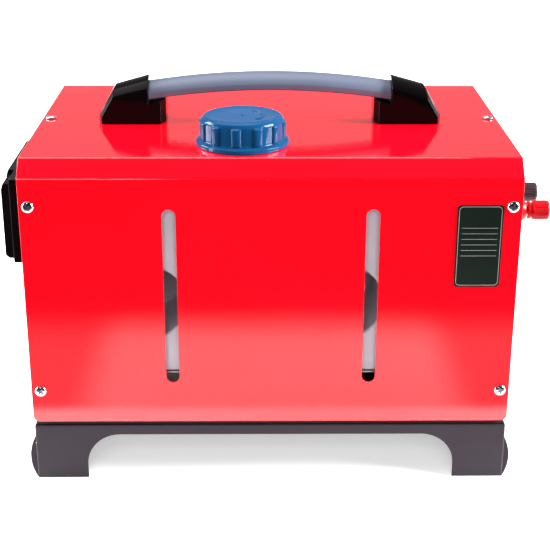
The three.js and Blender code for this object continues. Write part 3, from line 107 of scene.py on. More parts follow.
# Painted shade: the sheet is pale, but its colour darkens in front of the heater and beside it,
# outside the picture, where only mirrors and bounced light meet it.
FLOOR_REACH = 6.0
FLOOR_FALLOFF = (-0.50, -0.39)  # y where it is dark and where it is pale again
FLOOR_SIDES = (0.15, 0.20)  # distance from the middle where its sides darken
FLOOR_SEEN = (-0.245, -0.265)  # y where the picture ends, inside and outside
SIDE_SHADE = 0.7  # how far the sides darken
MIRRORED_SHARE = 0.52  # tone of the part that only the front panel mirrors
FLOOR_TONES = (0.004, 0.92)
FLOOR_GLOW, FLOOR_ROUGHNESS, FLOOR_SHINE = 0.5, 0.9, 0.1
BACKDROP_FADE, BACKDROP_GLOW = (-0.5, 0.5), 0.36  # from the front of the room to its back
floor_mesh = bpy.data.meshes.new("floor")
floor_mesh.from_pydata(
    [(x, y, 0) for x, y in ((-1, -1), (1, -1), (1, 1), (-1, 1))], [], [(0, 1, 2, 3)])
floor_mesh.transform(Matrix.Scale(FLOOR_REACH, 4))
floor = bpy.data.objects.new("floor", floor_mesh)
bpy.context.collection.objects.link(floor)


def combine(tree, operation, first, second=0.0):
    """Adds, multiplies or otherwise joins two values, either of which may be a number."""
    node = tree.nodes.new("ShaderNodeMath")
    node.operation = operation
    for socket, value in zip(node.inputs, (first, second)):
        if isinstance(value, (int, float)):
            socket.default_value = value
        else:
            tree.links.new(value, socket)
    return node.outputs[0]


def ramp(tree, source, start, end, top=1.0):
    """A smooth rise from 0, where the source is start, to top, where it is end."""
    slope = tree.nodes.new("ShaderNodeMapRange")
    slope.interpolation_type = "SMOOTHSTEP"
    slope.inputs["From Min"].default_value, slope.inputs["From Max"].default_value = start, end
    slope.inputs["To Max"].default_value = top
    tree.links.new(source, slope.inputs["Value"])
    return slope.outputs["Result"]


def along_axes(tree, coordinates):
    """The X, Y and Z of a point, or of a direction in the surroundings."""
    place = tree.nodes.new("ShaderNodeTexCoord")
    split = tree.nodes.new("ShaderNodeSeparateXYZ")
    tree.links.new(place.outputs[coordinates], split.inputs[0])
    return split.outputs


def pale_in_view(tree, value):
    """The value, or 1 where the camera looks straight at it: only mirrors and bounced light
    meet the darker parts of the studio."""
    rays = tree.nodes.new("ShaderNodeLightPath")
    return combine(tree, "MAXIMUM", value, rays.outputs["Is Camera Ray"])


paper = bpy.data.materials.new("paper_painted_light_and_shade")
paper.use_nodes = True
tree = paper.node_tree
shader = tree.nodes["Principled BSDF"]
shader.inputs["Roughness"].default_value = FLOOR_ROUGHNESS
shader.inputs["Specular IOR Level"].default_value = FLOOR_SHINE
# Painted light: the sheet glows in its own tone, which pales the shadow under the heater.
shader.inputs["Emission Strength"].default_value = FLOOR_GLOW
axes = along_axes(tree, "Object")
sides = ramp(tree, combine(tree, "ABSOLUTE", axes["X"]), *FLOOR_SIDES, SIDE_SHADE)
shade = combine(tree, "MULTIPLY", sides, ramp(tree, axes["Y"], *FLOOR_SEEN))
bright = combine(tree, "MULTIPLY", ramp(tree, axes["Y"], *FLOOR_FALLOFF),
                 combine(tree, "SUBTRACT", 1.0, shade))
seen = ramp(tree, axes["Y"], *FLOOR_SEEN[::-1], 1 - MIRRORED_SHARE)
bright = combine(tree, "MULTIPLY", bright, combine(tree, "ADD", MIRRORED_SHARE, seen))
tone = tree.nodes.new("ShaderNodeMix")
tone.data_type = "RGBA"
for socket, level in zip("AB", FLOOR_TONES):
    tone.inputs[socket].default_value = (level, level, level, 1)
tree.links.new(pale_in_view(tree, bright), tone.inputs["Factor"])
tree.links.new(tone.outputs["Result"], shader.inputs["Base Color"])
tree.links.new(tone.outputs["Result"], shader.inputs["Emission Color"])
floor_mesh.materials.append(paper)

# The surroundings are bright behind the heater and dim behind the camera.
world = bpy.data.worlds.new("studio")
bpy.context.scene.world = world
world.use_nodes = True
tree = world.node_tree
backdrop = tree.nodes["Background"]
backdrop.inputs["Color"].default_value = (1, 1, 1, 1)
glow = ramp(tree, along_axes(tree, "Generated")["Y"], *BACKDROP_FADE, BACKDROP_GLOW)
tree.links.new(pale_in_view(tree, glow), backdrop.inputs["Strength"])

# ------------------------------------------------------------------ folded cover and side panels
# The case is 1.2 mm sheet steel, powder coated a glossy red: one sheet is folded over the
# front, the sloped band, the top and the back, and a shallow pan closes either side. The
# paint has a fine orange peel, and its gloss mirrors the backdrop and the floor.
FOLD_RADIUS, CUT_EDGE = 1.3, 0.35
SHARP = math.radians(25)  # corners sharper than this are rounded
FLAT = math.radians(0.6)  # triangles that meet flatter than this are one face


def weld(mesh, distance):
    """Closes a CAD solid's split corners and clears the flat triangles' edges."""
    work = bmesh.new()
    work.from_mesh(mesh)
    bmesh.ops.remove_doubles(work, verts=work.verts, dist=distance)
    bmesh.ops.dissolve_limit(work, angle_limit=FLAT, verts=work.verts, edges=work.edges)
    bmesh.ops.recalc_face_normals(work, faces=work.faces)
    return work


def dress(node, material):
    """Gives a CAD node its finish."""
    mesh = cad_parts[node].data
    mesh.materials.clear()
    mesh.materials.append(material)


def settle(piece, node, body, slot, *materials):
    """Puts a finished piece in the place of a CAD node."""
    if not piece.data.materials:
        for material in materials:
            piece.data.materials.append(material)
    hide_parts(node)
    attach(piece, body)
    return piece


def new_piece(name, mesh, smooth=30):
    """An object for a mesh, shaded smooth except across corners sharper than smooth degrees."""
    mesh.shade_smooth()
    mesh.set_sharp_from_angle(angle=math.radians(smooth))
    piece = bpy.data.objects.new(name, mesh)
    bpy.context.collection.objects.link(piece)
    return piece


def rounded_copy(node, name, edge, fold=None, is_fold=None, segments=2, join=0.03):
    """A copy of a CAD solid whose corners are rounded: edge mm on cut edges and fold mm where
    is_fold(middle, direction, length) says that the sheet is bent."""
    fold = fold or edge
    work = weld(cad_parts[node].data, join / 1000)
    weight = work.edges.layers.float.new("bevel_weight_edge")
    for line in work.edges:
        if len(line.link_faces) != 2 or line.calc_face_angle(0) < SHARP:
            continue
        start, end = line.verts[0].co, line.verts[1].co
        middle, length = (start + end) / 2, (end - start).length
        bent = is_fold and is_fold(middle * 1000, (end - start) / length, length * 1000)
        line[weight] = 1 if bent else edge / fold
    mesh = bpy.data.meshes.new(name)
    work.to_mesh(mesh)
    work.free()
    piece = new_piece(name, mesh)
    bevel = piece.modifiers.new("rounded_corners", "BEVEL")
    bevel.limit_method = "WEIGHT"
    bevel.width, bevel.segments = fold / 1000, segments
    bevel.use_clamp_overlap = False
    bevel.harden_normals = True
    return piece


def texture_group(name, inputs):
    """A shader group that gives a tone and a height over a surface, both from 0 to 1: the
    group, the places on the surface, what the group is given, and where its results go."""
    tree = bpy.data.node_groups.new(name, "ShaderNodeTree")
    for label, value in inputs.items():
        socket = tree.interface.new_socket(label, in_out="INPUT", socket_type="NodeSocketFloat")
        socket.default_value = value
    for label in ("Tone", "Height"):
        tree.interface.new_socket(label, in_out="OUTPUT", socket_type="NodeSocketFloat")
    given, result = tree.nodes.new("NodeGroupInput"), tree.nodes.new("NodeGroupOutput")
    spots = tree.nodes.new("ShaderNodeTexCoord").outputs["Object"]
    return tree, spots, given.outputs, result.inputs


def noise(tree, vector, scale, detail, roughness=0.5):
    """A noise texture; scale is a group socket or a number, in waves per metre."""
    texture = tree.nodes.new("ShaderNodeTexNoise")
    tree.links.new(vector, texture.inputs["Vector"])
    if isinstance(scale, (int, float)):
        texture.inputs["Scale"].default_value = scale
    else:
        tree.links.new(scale, texture.inputs["Scale"])
    texture.inputs["Detail"].default_value = detail
    texture.inputs["Roughness"].default_value = roughness
    return texture.outputs["Fac"]


def waves(tree, spots, size, detail, roughness=0.5):
    """A noise texture whose waves are as long, in metres, as one of the group's inputs says."""
    return noise(tree, spots, combine(tree, "DIVIDE", 1, size), detail, roughness)


def finish(name, dark, pale, roughness, group, values, relief, metallic=0.0, ior=1.5):
    """A material whose colour runs from dark to pale and whose roughness runs over the pair
    roughness with a texture group's tone; relief is the depth in micrometres of its height."""
    material = bpy.data.materials.new(name)
    material.use_nodes = True
    tree = material.node_tree
    shader = tree.nodes["Principled BSDF"]
    shader.inputs["Metallic"].default_value = metallic
    shader.inputs["IOR"].default_value = ior
    surface = tree.nodes.new("ShaderNodeGroup")
    surface.node_tree = group
    for label, value in values.items():
        surface.inputs[label].default_value = value
    colour = tree.nodes.new("ShaderNodeMix")
    colour.data_type = "RGBA"
    colour.inputs["A"].default_value = (*dark, 1)
    colour.inputs["B"].default_value = (*pale, 1)
    tree.links.new(surface.outputs["Tone"], colour.inputs["Factor"])
    tree.links.new(colour.outputs["Result"], shader.inputs["Base Color"])
    shine = tree.nodes.new("ShaderNodeMapRange")
    shine.inputs["To Min"].default_value, shine.inputs["To Max"].default_value = roughness
    tree.links.new(surface.outputs["Tone"], shine.inputs["Value"])
    tree.links.new(shine.outputs["Result"], shader.inputs["Roughness"])
    bump = tree.nodes.new("ShaderNodeBump")
    bump.inputs["Distance"].default_value = relief * 1e-6
    tree.links.new(surface.outputs["Height"], bump.inputs["Height"])
    tree.links.new(bump.outputs["Normal"], shader.inputs["Normal"])
    return material


# Powder coat: a broad drift of tone, and an orange peel over a long, faint waviness.
DRIFTS_PER_METRE = 9
powder_coat, spots, given, result = texture_group(
    "powder_coat", {"Peel Size": 0.0022, "Wave Size": 0.03, "Wave Share": 0.5})
peel = waves(powder_coat, spots, given["Peel Size"], 2)
swell = combine(
    powder_coat, "MULTIPLY", waves(powder_coat, spots, given["Wave Size"], 1), given["Wave Share"])
powder_coat.links.new(combine(powder_coat, "ADD", peel, swell), result["Height"])
powder_coat.links.new(noise(powder_coat, spots, DRIFTS_PER_METRE, 3), result["Tone"])

red_paint = finish(
    "red_powder_coat", (0.87, 0.0010, 0.008), (0.95, 0.0020, 0.012), (0.05, 0.09), powder_coat,
    {"Peel Size": 0.0024, "Wave Size": 0.05, "Wave Share": 2.0}, 6, ior=1.7)
LONG_FOLD, FOLDS_FROM = 300, 60  # the least length and height of a fold


def cover_fold(middle, direction, length):
    """The cover is bent along its whole width, everywhere but at its two lower edges."""
    return abs(direction.x) > 0.99 and length > LONG_FOLD and middle.z > FOLDS_FROM


cover = rounded_copy("outer_cover", "folded_cover", CUT_EDGE, FOLD_RADIUS, cover_fold, 3)
settle(cover, "outer_cover", "root", "red_paint", red_paint)
for side in ("left", "right"):
    pan = rounded_copy(f"side_panel_{side}", f"side_pan_{side}", CUT_EDGE)
    settle(pan, f"side_panel_{side}", "root", "red_paint", red_paint)

# ------------------------------------------------------------------ base
# A pressed sheet-steel tray with arched skirts, powder coated a satin charcoal. A lip on its
# deck locates the red panels, and drilled ears at its four feet take the mounting bolts.
BASE_FOLD, BASE_TOP = 1.4, 49.1
DECK_EDGE, CORNER_EDGE = 100, 20  # the least length of the edges that are bent
CORNER_X, CORNER_Y = 190, 125  # beyond these lie the upright corners


def base_fold(middle, direction, length):
    """The deck's outer edges and the four upright corners are bent, the rest is cut."""
    deck = abs(middle.z - BASE_TOP) < 0.2 and length > DECK_EDGE
    upright = abs(direction.z) > 0.99 and length > CORNER_EDGE
    return deck or (upright and abs(middle.x) > CORNER_X and abs(middle.y) > CORNER_Y)


charcoal_paint = finish(
    "charcoal_powder_coat", (0.020, 0.014, 0.020), (0.030, 0.022, 0.030), (0.36, 0.5), powder_coat,
    {"Peel Size": 0.0012, "Wave Size": 0.04, "Wave Share": 0.6}, 16, ior=1.28)
base = rounded_copy("base_tray", "pressed_base", CUT_EDGE, BASE_FOLD, base_fold)
settle(base, "base_tray", "root", "black_paint", charcoal_paint)

# ------------------------------------------------------------------ case screws
# Pan-head machine screws of bright zinc-plated steel with a cross recess, screwed through
# the cover into the side pans' flanges.
HEAD = [  # radius and height above the sheet
    (2.0, -8.0), (2.0, 0.3), (4.35, 0.3), (4.65, 0.6), (4.6, 1.1), (4.2, 1.65), (3.4, 2.15),
    (2.3, 2.45), (1.1, 2.58), (0, 2.6)]
CROSS_REACH, CROSS_HALF, CROSS_FLOOR, CROSS_MOUTH = 2.7, 0.62, 0.9, 2.2
HEAD_RISE = 0.0026
RIGHT_TURN, LOWER_TURN = 47, 23  # degrees: the screws stop at different angles


def turned(profile, facets=96, swell=None, closed=False):
    """A mesh turned about z from (radius, height) points in mm, or (radius, height, share)
    with swell(angle) in mm added to the radius by that share. A closed profile makes a ring."""
    rings, vertices, faces = [], [], []
    for point in profile:
        radius, height = point[:2]
        share = point[2] if len(point) > 2 else 0
        start = len(vertices)
        if radius == 0:
            vertices.append((0, 0, height / 1000))
            rings.append([start] * facets)
            continue
        for step in range(facets):
            angle = math.tau * step / facets
            reach = (radius + (share * swell(angle) if share else 0)) / 1000
            vertices.append((reach * math.cos(angle), reach * math.sin(angle), height / 1000))
        rings.append(list(range(start, start + facets)))
    pairs = list(zip(rings, rings[1:]))
    if closed:
        pairs.append((rings[-1], rings[0]))
    for low, high in pairs:
        for step in range(facets):
            after = (step + 1) % facets
            corners = [low[step], low[after], high[after], high[step]]
            corners = list(dict.fromkeys(corners))
            if len(corners) > 2:
                faces.append(corners)
    if not closed and profile[0][0] > 0:
        faces.append(rings[0][::-1])
    mesh = bpy.data.meshes.new("turned")
    mesh.from_pydata(vertices, [], faces)
    mesh.update()
    return mesh


def applied(piece):
    """The piece's mesh with its modifiers worked in."""
    graph = bpy.context.evaluated_depsgraph_get()
    mesh = bpy.data.meshes.new_from_object(piece.evaluated_get(graph))
    bpy.data.objects.remove(piece)
    return mesh


def cuboid(x0, x1, y0, y1, z0, z1):
    """A box mesh from its limits in mm."""
    corners = [(x / 1000, y / 1000, z / 1000) for z in (z0, z1) for y in (y0, y1) for x in (x0, x1)]
    mesh = bpy.data.meshes.new("cuboid")
    mesh.from_pydata(corners, [], [
        (0, 2, 3, 1), (4, 5, 7, 6), (0, 1, 5, 4), (2, 6, 7, 3), (0, 4, 6, 2), (1, 3, 7, 5)])
    return mesh


def carved(mesh, *tools):
    """A mesh with the tools' meshes cut out of it."""
    piece = new_piece("blank", mesh)
    cutters = [new_piece("cutter", tool) for tool in tools]
    for cutter in cutters:
        cut = piece.modifiers.new("cut", "BOOLEAN")
        cut.operation, cut.object, cut.solver = "DIFFERENCE", cutter, "EXACT"
    mesh = applied(piece)
    for cutter in cutters:
        bpy.data.objects.remove(cutter)
    return mesh


# Plating and bare metal: fine crossed scratches over a cloudy tone.
plating, spots, given, result = texture_group(
    "plating", {"Cloud Size": 0.004, "Scratch Size": 0.0004})
cloud = waves(plating, spots, given["Cloud Size"], 3)
scratch = waves(plating, spots, given["Scratch Size"], 4, 0.7)
plating.links.new(cloud, result["Tone"])
plating.links.new(combine(plating, "ADD", scratch, cloud), result["Height"])

zinc = finish(
    "bright_zinc", (0.72, 0.74, 0.78), (0.90, 0.91, 0.93), (0.12, 0.26), plating, {}, 3,
    metallic=1.0)
# Painted shade: the cross recess is coloured a darker blue-grey than the zinc, for the shade inside
# it.
recess_shadow = finish(
    "cross_recess_painted_shade", (0.25, 0.32, 0.45), (0.40, 0.48, 0.60), (0.3, 0.5), plating, {}, 4,
    metallic=0.8)
screw_mesh = carved(
    turned(HEAD, 48),
    cuboid(-CROSS_REACH, CROSS_REACH, -CROSS_HALF, CROSS_HALF, CROSS_FLOOR, 4),
    cuboid(-CROSS_HALF, CROSS_HALF, -CROSS_REACH, CROSS_REACH, CROSS_FLOOR, 4))
screw_mesh.materials.clear()
screw_mesh.materials.append(zinc)
screw_mesh.materials.append(recess_shadow)
# The faces inside the cross recess take the painted shade.
for face in screw_mesh.polygons:
    x, y, z = face.center * 1000
    within = math.hypot(x, y) < 3 and CROSS_FLOOR - 0.1 < z < CROSS_MOUTH
    face.material_index = 1 if within and (face.normal.z < 0.5 or z < 1.0) else 0

SCREW_TURN = {"front": (math.pi / 2, 34), "top": (0, 12), "back": (-math.pi / 2, 60)}
for node in sorted(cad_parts):
    if "_screw_" not in node:
        continue
    low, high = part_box(node)
    facing = node.split("_")[0]
    tilt, spin = SCREW_TURN[facing]
    seat = (low + high) / 2
    if facing == "top":
        seat.z = high.z - HEAD_RISE
    else:
        seat.y = low.y + HEAD_RISE if facing == "front" else high.y - HEAD_RISE
    screw = new_piece(node.replace("_screw_", "_cross_screw_"), screw_mesh.copy())
    turn = math.radians(spin + RIGHT_TURN * (low.x > 0) + LOWER_TURN * ("lower" in node))
    screw.matrix_world = (
        Matrix.Translation(seat) @ Matrix.Rotation(tilt, 4, "X") @ Matrix.Rotation(turn, 4, "Z"))
    settle(screw, node, "root", "zinc")

# ------------------------------------------------------------------ rating plate
# A thin black plate stuck to the front near the right edge. It is left bare: a thin pale
# line runs round it, and it has rules for data but no data.
PLATE_BORDER, PLATE_LINE, PLATE_INK = 1.3, 0.28, 0.05
PLATE_CORNER, BORDER_CORNER = 3.0, 3.2
PLATE_RULES, RULE_DROP, RULE_STEP, RULE_INSET, RULE_WIDTH = 6, 19, 4.6, 4, 0.22


def rounded_outline(x0, x1, z0, z1, radius, steps=8):
    """Corner points, anticlockwise, of a rectangle with rounded corners."""
    points = []
    for x, z, start in ((x1 - radius, z0 + radius, -90), (x1 - radius, z1 - radius, 0),
                        (x0 + radius, z1 - radius, 90), (x0 + radius, z0 + radius, 180)):
        for step in range(steps + 1):
            angle = math.radians(start + 90 * step / steps)
            points.append((x + radius * math.cos(angle), z + radius * math.sin(angle)))
    return points


def outward(mesh):
    """The mesh with its faces turned outward."""
    work = bmesh.new()
    work.from_mesh(mesh)
    bmesh.ops.recalc_face_normals(work, faces=work.faces)
    work.to_mesh(mesh)
    work.free()
    return mesh


def slab(points, y0, y1, hole=None):
    """A plate or a frame between y0 and y1, in mm, with an outline in x and z."""
    count = len(points)
    vertices = [(x / 1000, y / 1000, z / 1000) for y in (y0, y1) for x, z in points]
    faces = [(i, (i + 1) % count, count + (i + 1) % count, count + i) for i in range(count)]
    faces = [face[::-1] for face in faces]
    if hole:
        base = len(vertices)
        vertices += [(x / 1000, y / 1000, z / 1000) for y in (y0, y1) for x, z in hole]
        for i in range(count):
            j = (i + 1) % count
            faces.append((base + i, base + j, base + count + j, base + count + i))
            faces.append((i, j, base + j, base + i))
            faces.append((count + j, count + i, base + count + i, base + count + j))
    else:
        faces.append(tuple(range(count)))
        faces.append(tuple(range(2 * count - 1, count - 1, -1)))
    mesh = bpy.data.meshes.new("slab")
    mesh.from_pydata(vertices, [], faces)
    return outward(mesh)


def merged(*parts):
    """One mesh from (mesh, material index) pairs."""
    work = bmesh.new()
    for mesh, index in parts:
        start = len(work.faces)
        work.from_mesh(mesh)
        work.faces.ensure_lookup_table()
        for face in work.faces[start:]:
            face.material_index = index
    whole = bpy.data.meshes.new("merged")
    work.to_mesh(whole)
    work.free()
    return whole


# Plastics and films: a fine spark-eroded grain with a broad drift of tone.
moulded, spots, given, result = texture_group(
    "moulded_grain", {"Grain Size": 0.0004, "Drift Size": 0.06})
moulded.links.new(waves(moulded, spots, given["Grain Size"], 3, 0.6), result["Height"])
moulded.links.new(waves(moulded, spots, given["Drift Size"], 2), result["Tone"])

plate_film = finish(
    "black_film", (0.004, 0.008, 0.006), (0.010, 0.016, 0.013), (0.28, 0.36), moulded,
    {"Grain Size": 0.0006}, 2, ior=1.3)
plate_ink = finish("pale_ink", (0.42, 0.42, 0.42), (0.55, 0.55, 0.55), (0.4, 0.5), moulded, {}, 2)
low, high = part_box("rating_plate")
x0, y0, z0 = low * 1000
x1, y1, z1 = high * 1000
plate_parts = [(slab(rounded_outline(x0, x1, z0, z1, PLATE_CORNER), y0 + PLATE_INK, y1), 0)]
inner = PLATE_BORDER + PLATE_LINE
ink_back = y0 + PLATE_INK + 0.05
plate_parts.append((slab(
    rounded_outline(
        x0 + PLATE_BORDER, x1 - PLATE_BORDER, z0 + PLATE_BORDER, z1 - PLATE_BORDER, BORDER_CORNER),
    y0, ink_back, rounded_outline(
        x0 + inner, x1 - inner, z0 + inner, z1 - inner, BORDER_CORNER - PLATE_LINE)), 1))
for rule in range(PLATE_RULES):
    height = z1 - RULE_DROP - RULE_STEP * rule
    plate_parts.append((cuboid(
        x0 + RULE_INSET, x1 - RULE_INSET, y0, ink_back, height, height + RULE_WIDTH), 1))
plate = new_piece("data_plate", merged(*plate_parts))
settle(plate, "rating_plate", "root", "rating_plate", plate_film, plate_ink)

# ------------------------------------------------------------------ handle
# An arched grip of soft grey-blue plastic is held at both ends by glossy black blocks, which
# are screwed to the top panel from below. The blocks have crowned tops and bevelled feet.
GRIP_REACH, GRIP_HALF, GRIP_SIDE, GRIP_CROWN = 102.0, 15.0, 5.4, 8.0
GRIP_MIDDLE, GRIP_END, GRIP_SETBACK, TOP_PANEL = 28.1, 20.1, 132.0, 274.4
GRIP_STEPS = 72
BLOCK_EDGE = 0.8


def grip_section():
    """The grip's outline across its length: the way out from its middle and the height above
    its underside, with eased lower corners and a crowned top."""
    ease, ease_steps, crown_steps = 1.6, 4, 12
    radius = (GRIP_HALF ** 2 + GRIP_CROWN ** 2) / (2 * GRIP_CROWN)
    reach = math.asin((GRIP_HALF - 0.5) / radius)
    half = []
    for step in range(ease_steps + 1):
        angle = math.radians(-90 + 90 * step / ease_steps)
        half.append((GRIP_HALF - ease + ease * math.cos(angle), ease + ease * math.sin(angle)))
    half.append((GRIP_HALF, GRIP_SIDE - 0.6))
    half.append((GRIP_HALF - 0.12, GRIP_SIDE + 0.1))
    for step in range(crown_steps + 1):
        angle = reach * (1 - step / crown_steps)
        height = GRIP_SIDE + GRIP_CROWN - radius + radius * math.cos(angle)
        half.append((radius * math.sin(angle), height))
    return half + [(-y, z) for y, z in half[-2::-1]]


def grip_mesh():
    """The grip's section carried along its arch."""
    section = grip_section()
    sagitta = GRIP_MIDDLE - GRIP_END
    radius = (GRIP_REACH ** 2 + sagitta ** 2) / (2 * sagitta)
    vertices, faces = [], []
    for step in range(GRIP_STEPS + 1):
        x = GRIP_REACH * (2 * step / GRIP_STEPS - 1)
        rise = GRIP_MIDDLE - radius + math.sqrt(radius ** 2 - x ** 2)
        vertices += [spot(x, GRIP_SETBACK + y, TOP_PANEL + rise + z) for y, z in section]
    count = len(section)
    for step in range(GRIP_STEPS):
        for i in range(count):
            j = (i + 1) % count
            a, b = step * count, (step + 1) * count
            faces.append((a + i, b + i, b + j, a + j))
    faces.append(tuple(range(count))[::-1])
    faces.append(tuple(range(GRIP_STEPS * count, (GRIP_STEPS + 1) * count)))
    mesh = bpy.data.meshes.new("grip")
    mesh.from_pydata(vertices, [], faces)
    return outward(mesh)


grip_plastic = finish(
    "soft_grip_plastic", (0.064, 0.078, 0.120), (0.084, 0.100, 0.148), (0.34, 0.46), moulded,
    {"Grain Size": 0.0007}, 7)
gloss_black = finish(
    "gloss_black_plastic", (0.0010, 0.0007, 0.0009), (0.0022, 0.0015, 0.0020), (0.08, 0.14),
    moulded, {"Grain Size": 0.0012}, 2, ior=1.15)
grip = new_piece("arched_grip", grip_mesh(), 40)
settle(grip, "handle_grip", "root", "grip", grip_plastic)
for side in ("left", "right"):
    block = rounded_copy(f"handle_end_{side}", f"handle_block_{side}", BLOCK_EDGE, segments=3)
    settle(block, f"handle_end_{side}", "root", "black_plastic", gloss_black)

# ------------------------------------------------------------------ fuel tank
# A milky blow-moulded tank stands behind the sight slots, so that the fuel shows through
# them. Its two round recesses weld the front wall to the back wall.
TANK_EDGE = 2.2
milky, spots, given, result = texture_group("milky_wall", {"Flow Size": 0.035})
flow = waves(milky, spots, given["Flow Size"], 2)
milky.links.new(flow, result["Tone"])
milky.links.new(flow, result["Height"])
tank_plastic = finish(
    "milky_polyethylene", (0.50, 0.47, 0.53), (0.64, 0.62, 0.68), (0.3, 0.42), milky, {}, 500)
tank = rounded_copy("fuel_tank", "blow_moulded_tank", TANK_EDGE, segments=3)
settle(tank, "fuel_tank", "root", "tank_plastic", tank_plastic)

# ------------------------------------------------------------------ fuel cap and seal
# A screw cap of glossy blue plastic with twelve round ribs for the fingers, a flange over
# the filler hole and a raised arrow that shows the way to close it. A rubber ring seals it.
CAP_X, CAP_Y = -22.4, 55.0
CAP_WALL = 33.0
CAP_RIBS, RIB_HALF, RIB_PROUD, RIB_TURN = 12, 3.9, 2.0, -98
CAP_PROFILE = [  # radius, height above the panel, share of the ribs
    (25, 0.3, 0), (36.9, 0.3, 0), (37.4, 0.8, 0), (37.4, 3.0, 0), (37.1, 3.7, 0), (36.2, 4.2, 0),
    (34.6, 4.7, 0), (33.4, 5.1, 0.3), (33.0, 5.8, 0.9), (33.0, 7, 1), (33.0, 12, 1),
    (33.0, 18.4, 1), (33.0, 19.1, 0.9), (33.0, 19.5, 0.6), (32.95, 19.8, 0.25), (32.8, 20.3, 0),
    (32.5, 21.1, 0), (32.0, 21.9, 0), (31.2, 22.7, 0), (30.2, 23.2, 0), (29.2, 23.45, 0),
    (28.2, 23.4, 0), (27.4, 23.1, 0), (26.6, 22.95, 0), (18, 22.8, 0), (9, 22.7, 0), (0, 22.7, 0)]
ARROW_RADIUS, ARROW_WIDTH, ARROW_PROUD = 16.5, 1.3, 0.4
ARROW_START, ARROW_END, ARROW_TIP, TIP_SPREAD = 62, -38, 12, 1.8  # three angles, a share
PIP_RADIUS = 1.1
CAP_BORE, CAP_CEILING = 24.99, 20.5


def cap_rib(angle):
    """Height of the ribs at an angle round the cap: rounded on top, eased at their feet."""
    pitch_angle = math.tau / CAP_RIBS
    offset = (angle - math.radians(RIB_TURN) + pitch_angle / 2) % pitch_angle - pitch_angle / 2
    share = abs(offset) * CAP_WALL / RIB_HALF
    return RIB_PROUD * math.sqrt(max(0, 1 - share ** 2)) if share < 1 else 0


def arc_arrow(radius, width, start, end, z0, z1):
    """A curved arrow, lying flat: a band along an arc with a pointed head at its end."""
    def at(reach, degrees):
        angle = math.radians(degrees)
        return reach * math.cos(angle), reach * math.sin(angle)

    steps = 24
    turns = [start + (end - start) * step / steps for step in range(steps + 1)]
    tip = end + (ARROW_TIP if end > start else -ARROW_TIP)
    spread = TIP_SPREAD * width
    points = [at(radius + width / 2, turn) for turn in turns]
    points += [at(radius + spread, end), at(radius, tip), at(radius - spread, end)]
    points += [at(radius - width / 2, turn) for turn in turns[::-1]]
    count = len(points)
    vertices = [(x / 1000, y / 1000, z / 1000) for z in (z0, z1) for x, y in points]
    faces = [(i, (i + 1) % count, count + (i + 1) % count, count + i) for i in range(count)]
    faces.append(tuple(range(count))[::-1])
    faces.append(tuple(range(count, 2 * count)))
    mesh = bpy.data.meshes.new("arrow")
    mesh.from_pydata(vertices, [], faces)
    return outward(mesh)


cap_plastic = finish(
    "glossy_blue_plastic", (0.003, 0.042, 0.118), (0.006, 0.063, 0.168), (0.06, 0.10), moulded,
    {"Grain Size": 0.0016}, 3, ior=1.24)
cap_outside = turned(CAP_PROFILE, 360, cap_rib)
cap_hollow = turned([(CAP_BORE, -1), (CAP_BORE, CAP_CEILING), (0, CAP_CEILING)], 96)
cap_body = carved(cap_outside, cap_hollow)
pip = turned([(PIP_RADIUS, 22.4), (PIP_RADIUS, 23.0), (0.6 * PIP_RADIUS, 23.3), (0, 23.35)], 24)
arrow = arc_arrow(
    ARROW_RADIUS, ARROW_WIDTH, ARROW_START, ARROW_END, 22.5, 22.9 + ARROW_PROUD)
cap_mesh = merged((cap_body, 0), (pip, 0), (arrow, 0))
cap_mesh.materials.clear()
cap = new_piece("ribbed_fuel_cap", cap_mesh, 40)
cap.matrix_world = Matrix.Translation(spot(CAP_X, CAP_Y, TOP_PANEL))
settle(cap, "fuel_cap", "cap", "cap_plastic", cap_plastic)

# Rubber: a dull skin with a pale bloom.
bloom, spots, given, result = texture_group("rubber_bloom", {"Bloom Size": 0.006})
skin = waves(bloom, spots, given["Bloom Size"], 5, 0.65)
bloom.links.new(skin, result["Tone"])
bloom.links.new(skin, result["Height"])
rubber = finish(
    "black_rubber", (0.012, 0.012, 0.012), (0.035, 0.034, 0.033), (0.6, 0.8), bloom, {}, 30)
for node in ("cap_seal", "pump_clamp", "hose_tank_to_filter", "hose_pump_to_burner"):
    dress(node, rubber)

# ------------------------------------------------------------------ controller
# A black plastic housing on the left side, in two steps: four soft keys in front and, higher,
# a display behind. Its outer edges are bevelled, and it is screwed on from inside the case.
CONTROLLER_EDGE, KEY_EDGE = 0.7, 0.9
CELL_MARGIN, CELL_PROUD, CELL_DEEP = 7.0, 0.05, 0.2
satin_black = finish(
    "satin_black_plastic", (0.0015, 0.0012, 0.0014), (0.0035, 0.003, 0.0033), (0.2, 0.3), moulded,
    {"Grain Size": 0.0008}, 8, ior=1.2)
key_plastic = finish(
    "grey_key_plastic", (0.05, 0.05, 0.054), (0.075, 0.075, 0.08), (0.5, 0.6), moulded,
    {"Grain Size": 0.0005}, 14)
display_glass = finish(
    "display_glass", (0.006, 0.007, 0.008), (0.010, 0.012, 0.013), (0.05, 0.09), moulded, {}, 1)
display_cell = finish(
    "display_cell", (0.10, 0.13, 0.11), (0.13, 0.165, 0.14), (0.2, 0.25), moulded, {}, 1)
housing = rounded_copy("controller_housing", "stepped_controller", CONTROLLER_EDGE, segments=3)
settle(housing, "controller_housing", "root", "black_plastic", satin_black)
for number in range(1, 5):
    node = f"controller_button_{number}"
    key = rounded_copy(node, f"soft_key_{number}", KEY_EDGE, segments=3)
    settle(key, node, f"button_{number}", "button_plastic", key_plastic)
low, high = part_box("controller_screen")
x0, y0, z0 = low * 1000
x1, y1, z1 = high * 1000
display_mesh = merged((cuboid(x0, x1, y0, y1, z0, z1), 0), (cuboid(
    x0 - CELL_PROUD, x0 + CELL_DEEP, y0 + CELL_MARGIN, y1 - CELL_MARGIN, z0 + CELL_MARGIN,
    z1 - CELL_MARGIN), 1))
display = new_piece("display_window", display_mesh)
settle(display, "controller_screen", "root", "screen", display_glass, display_cell)

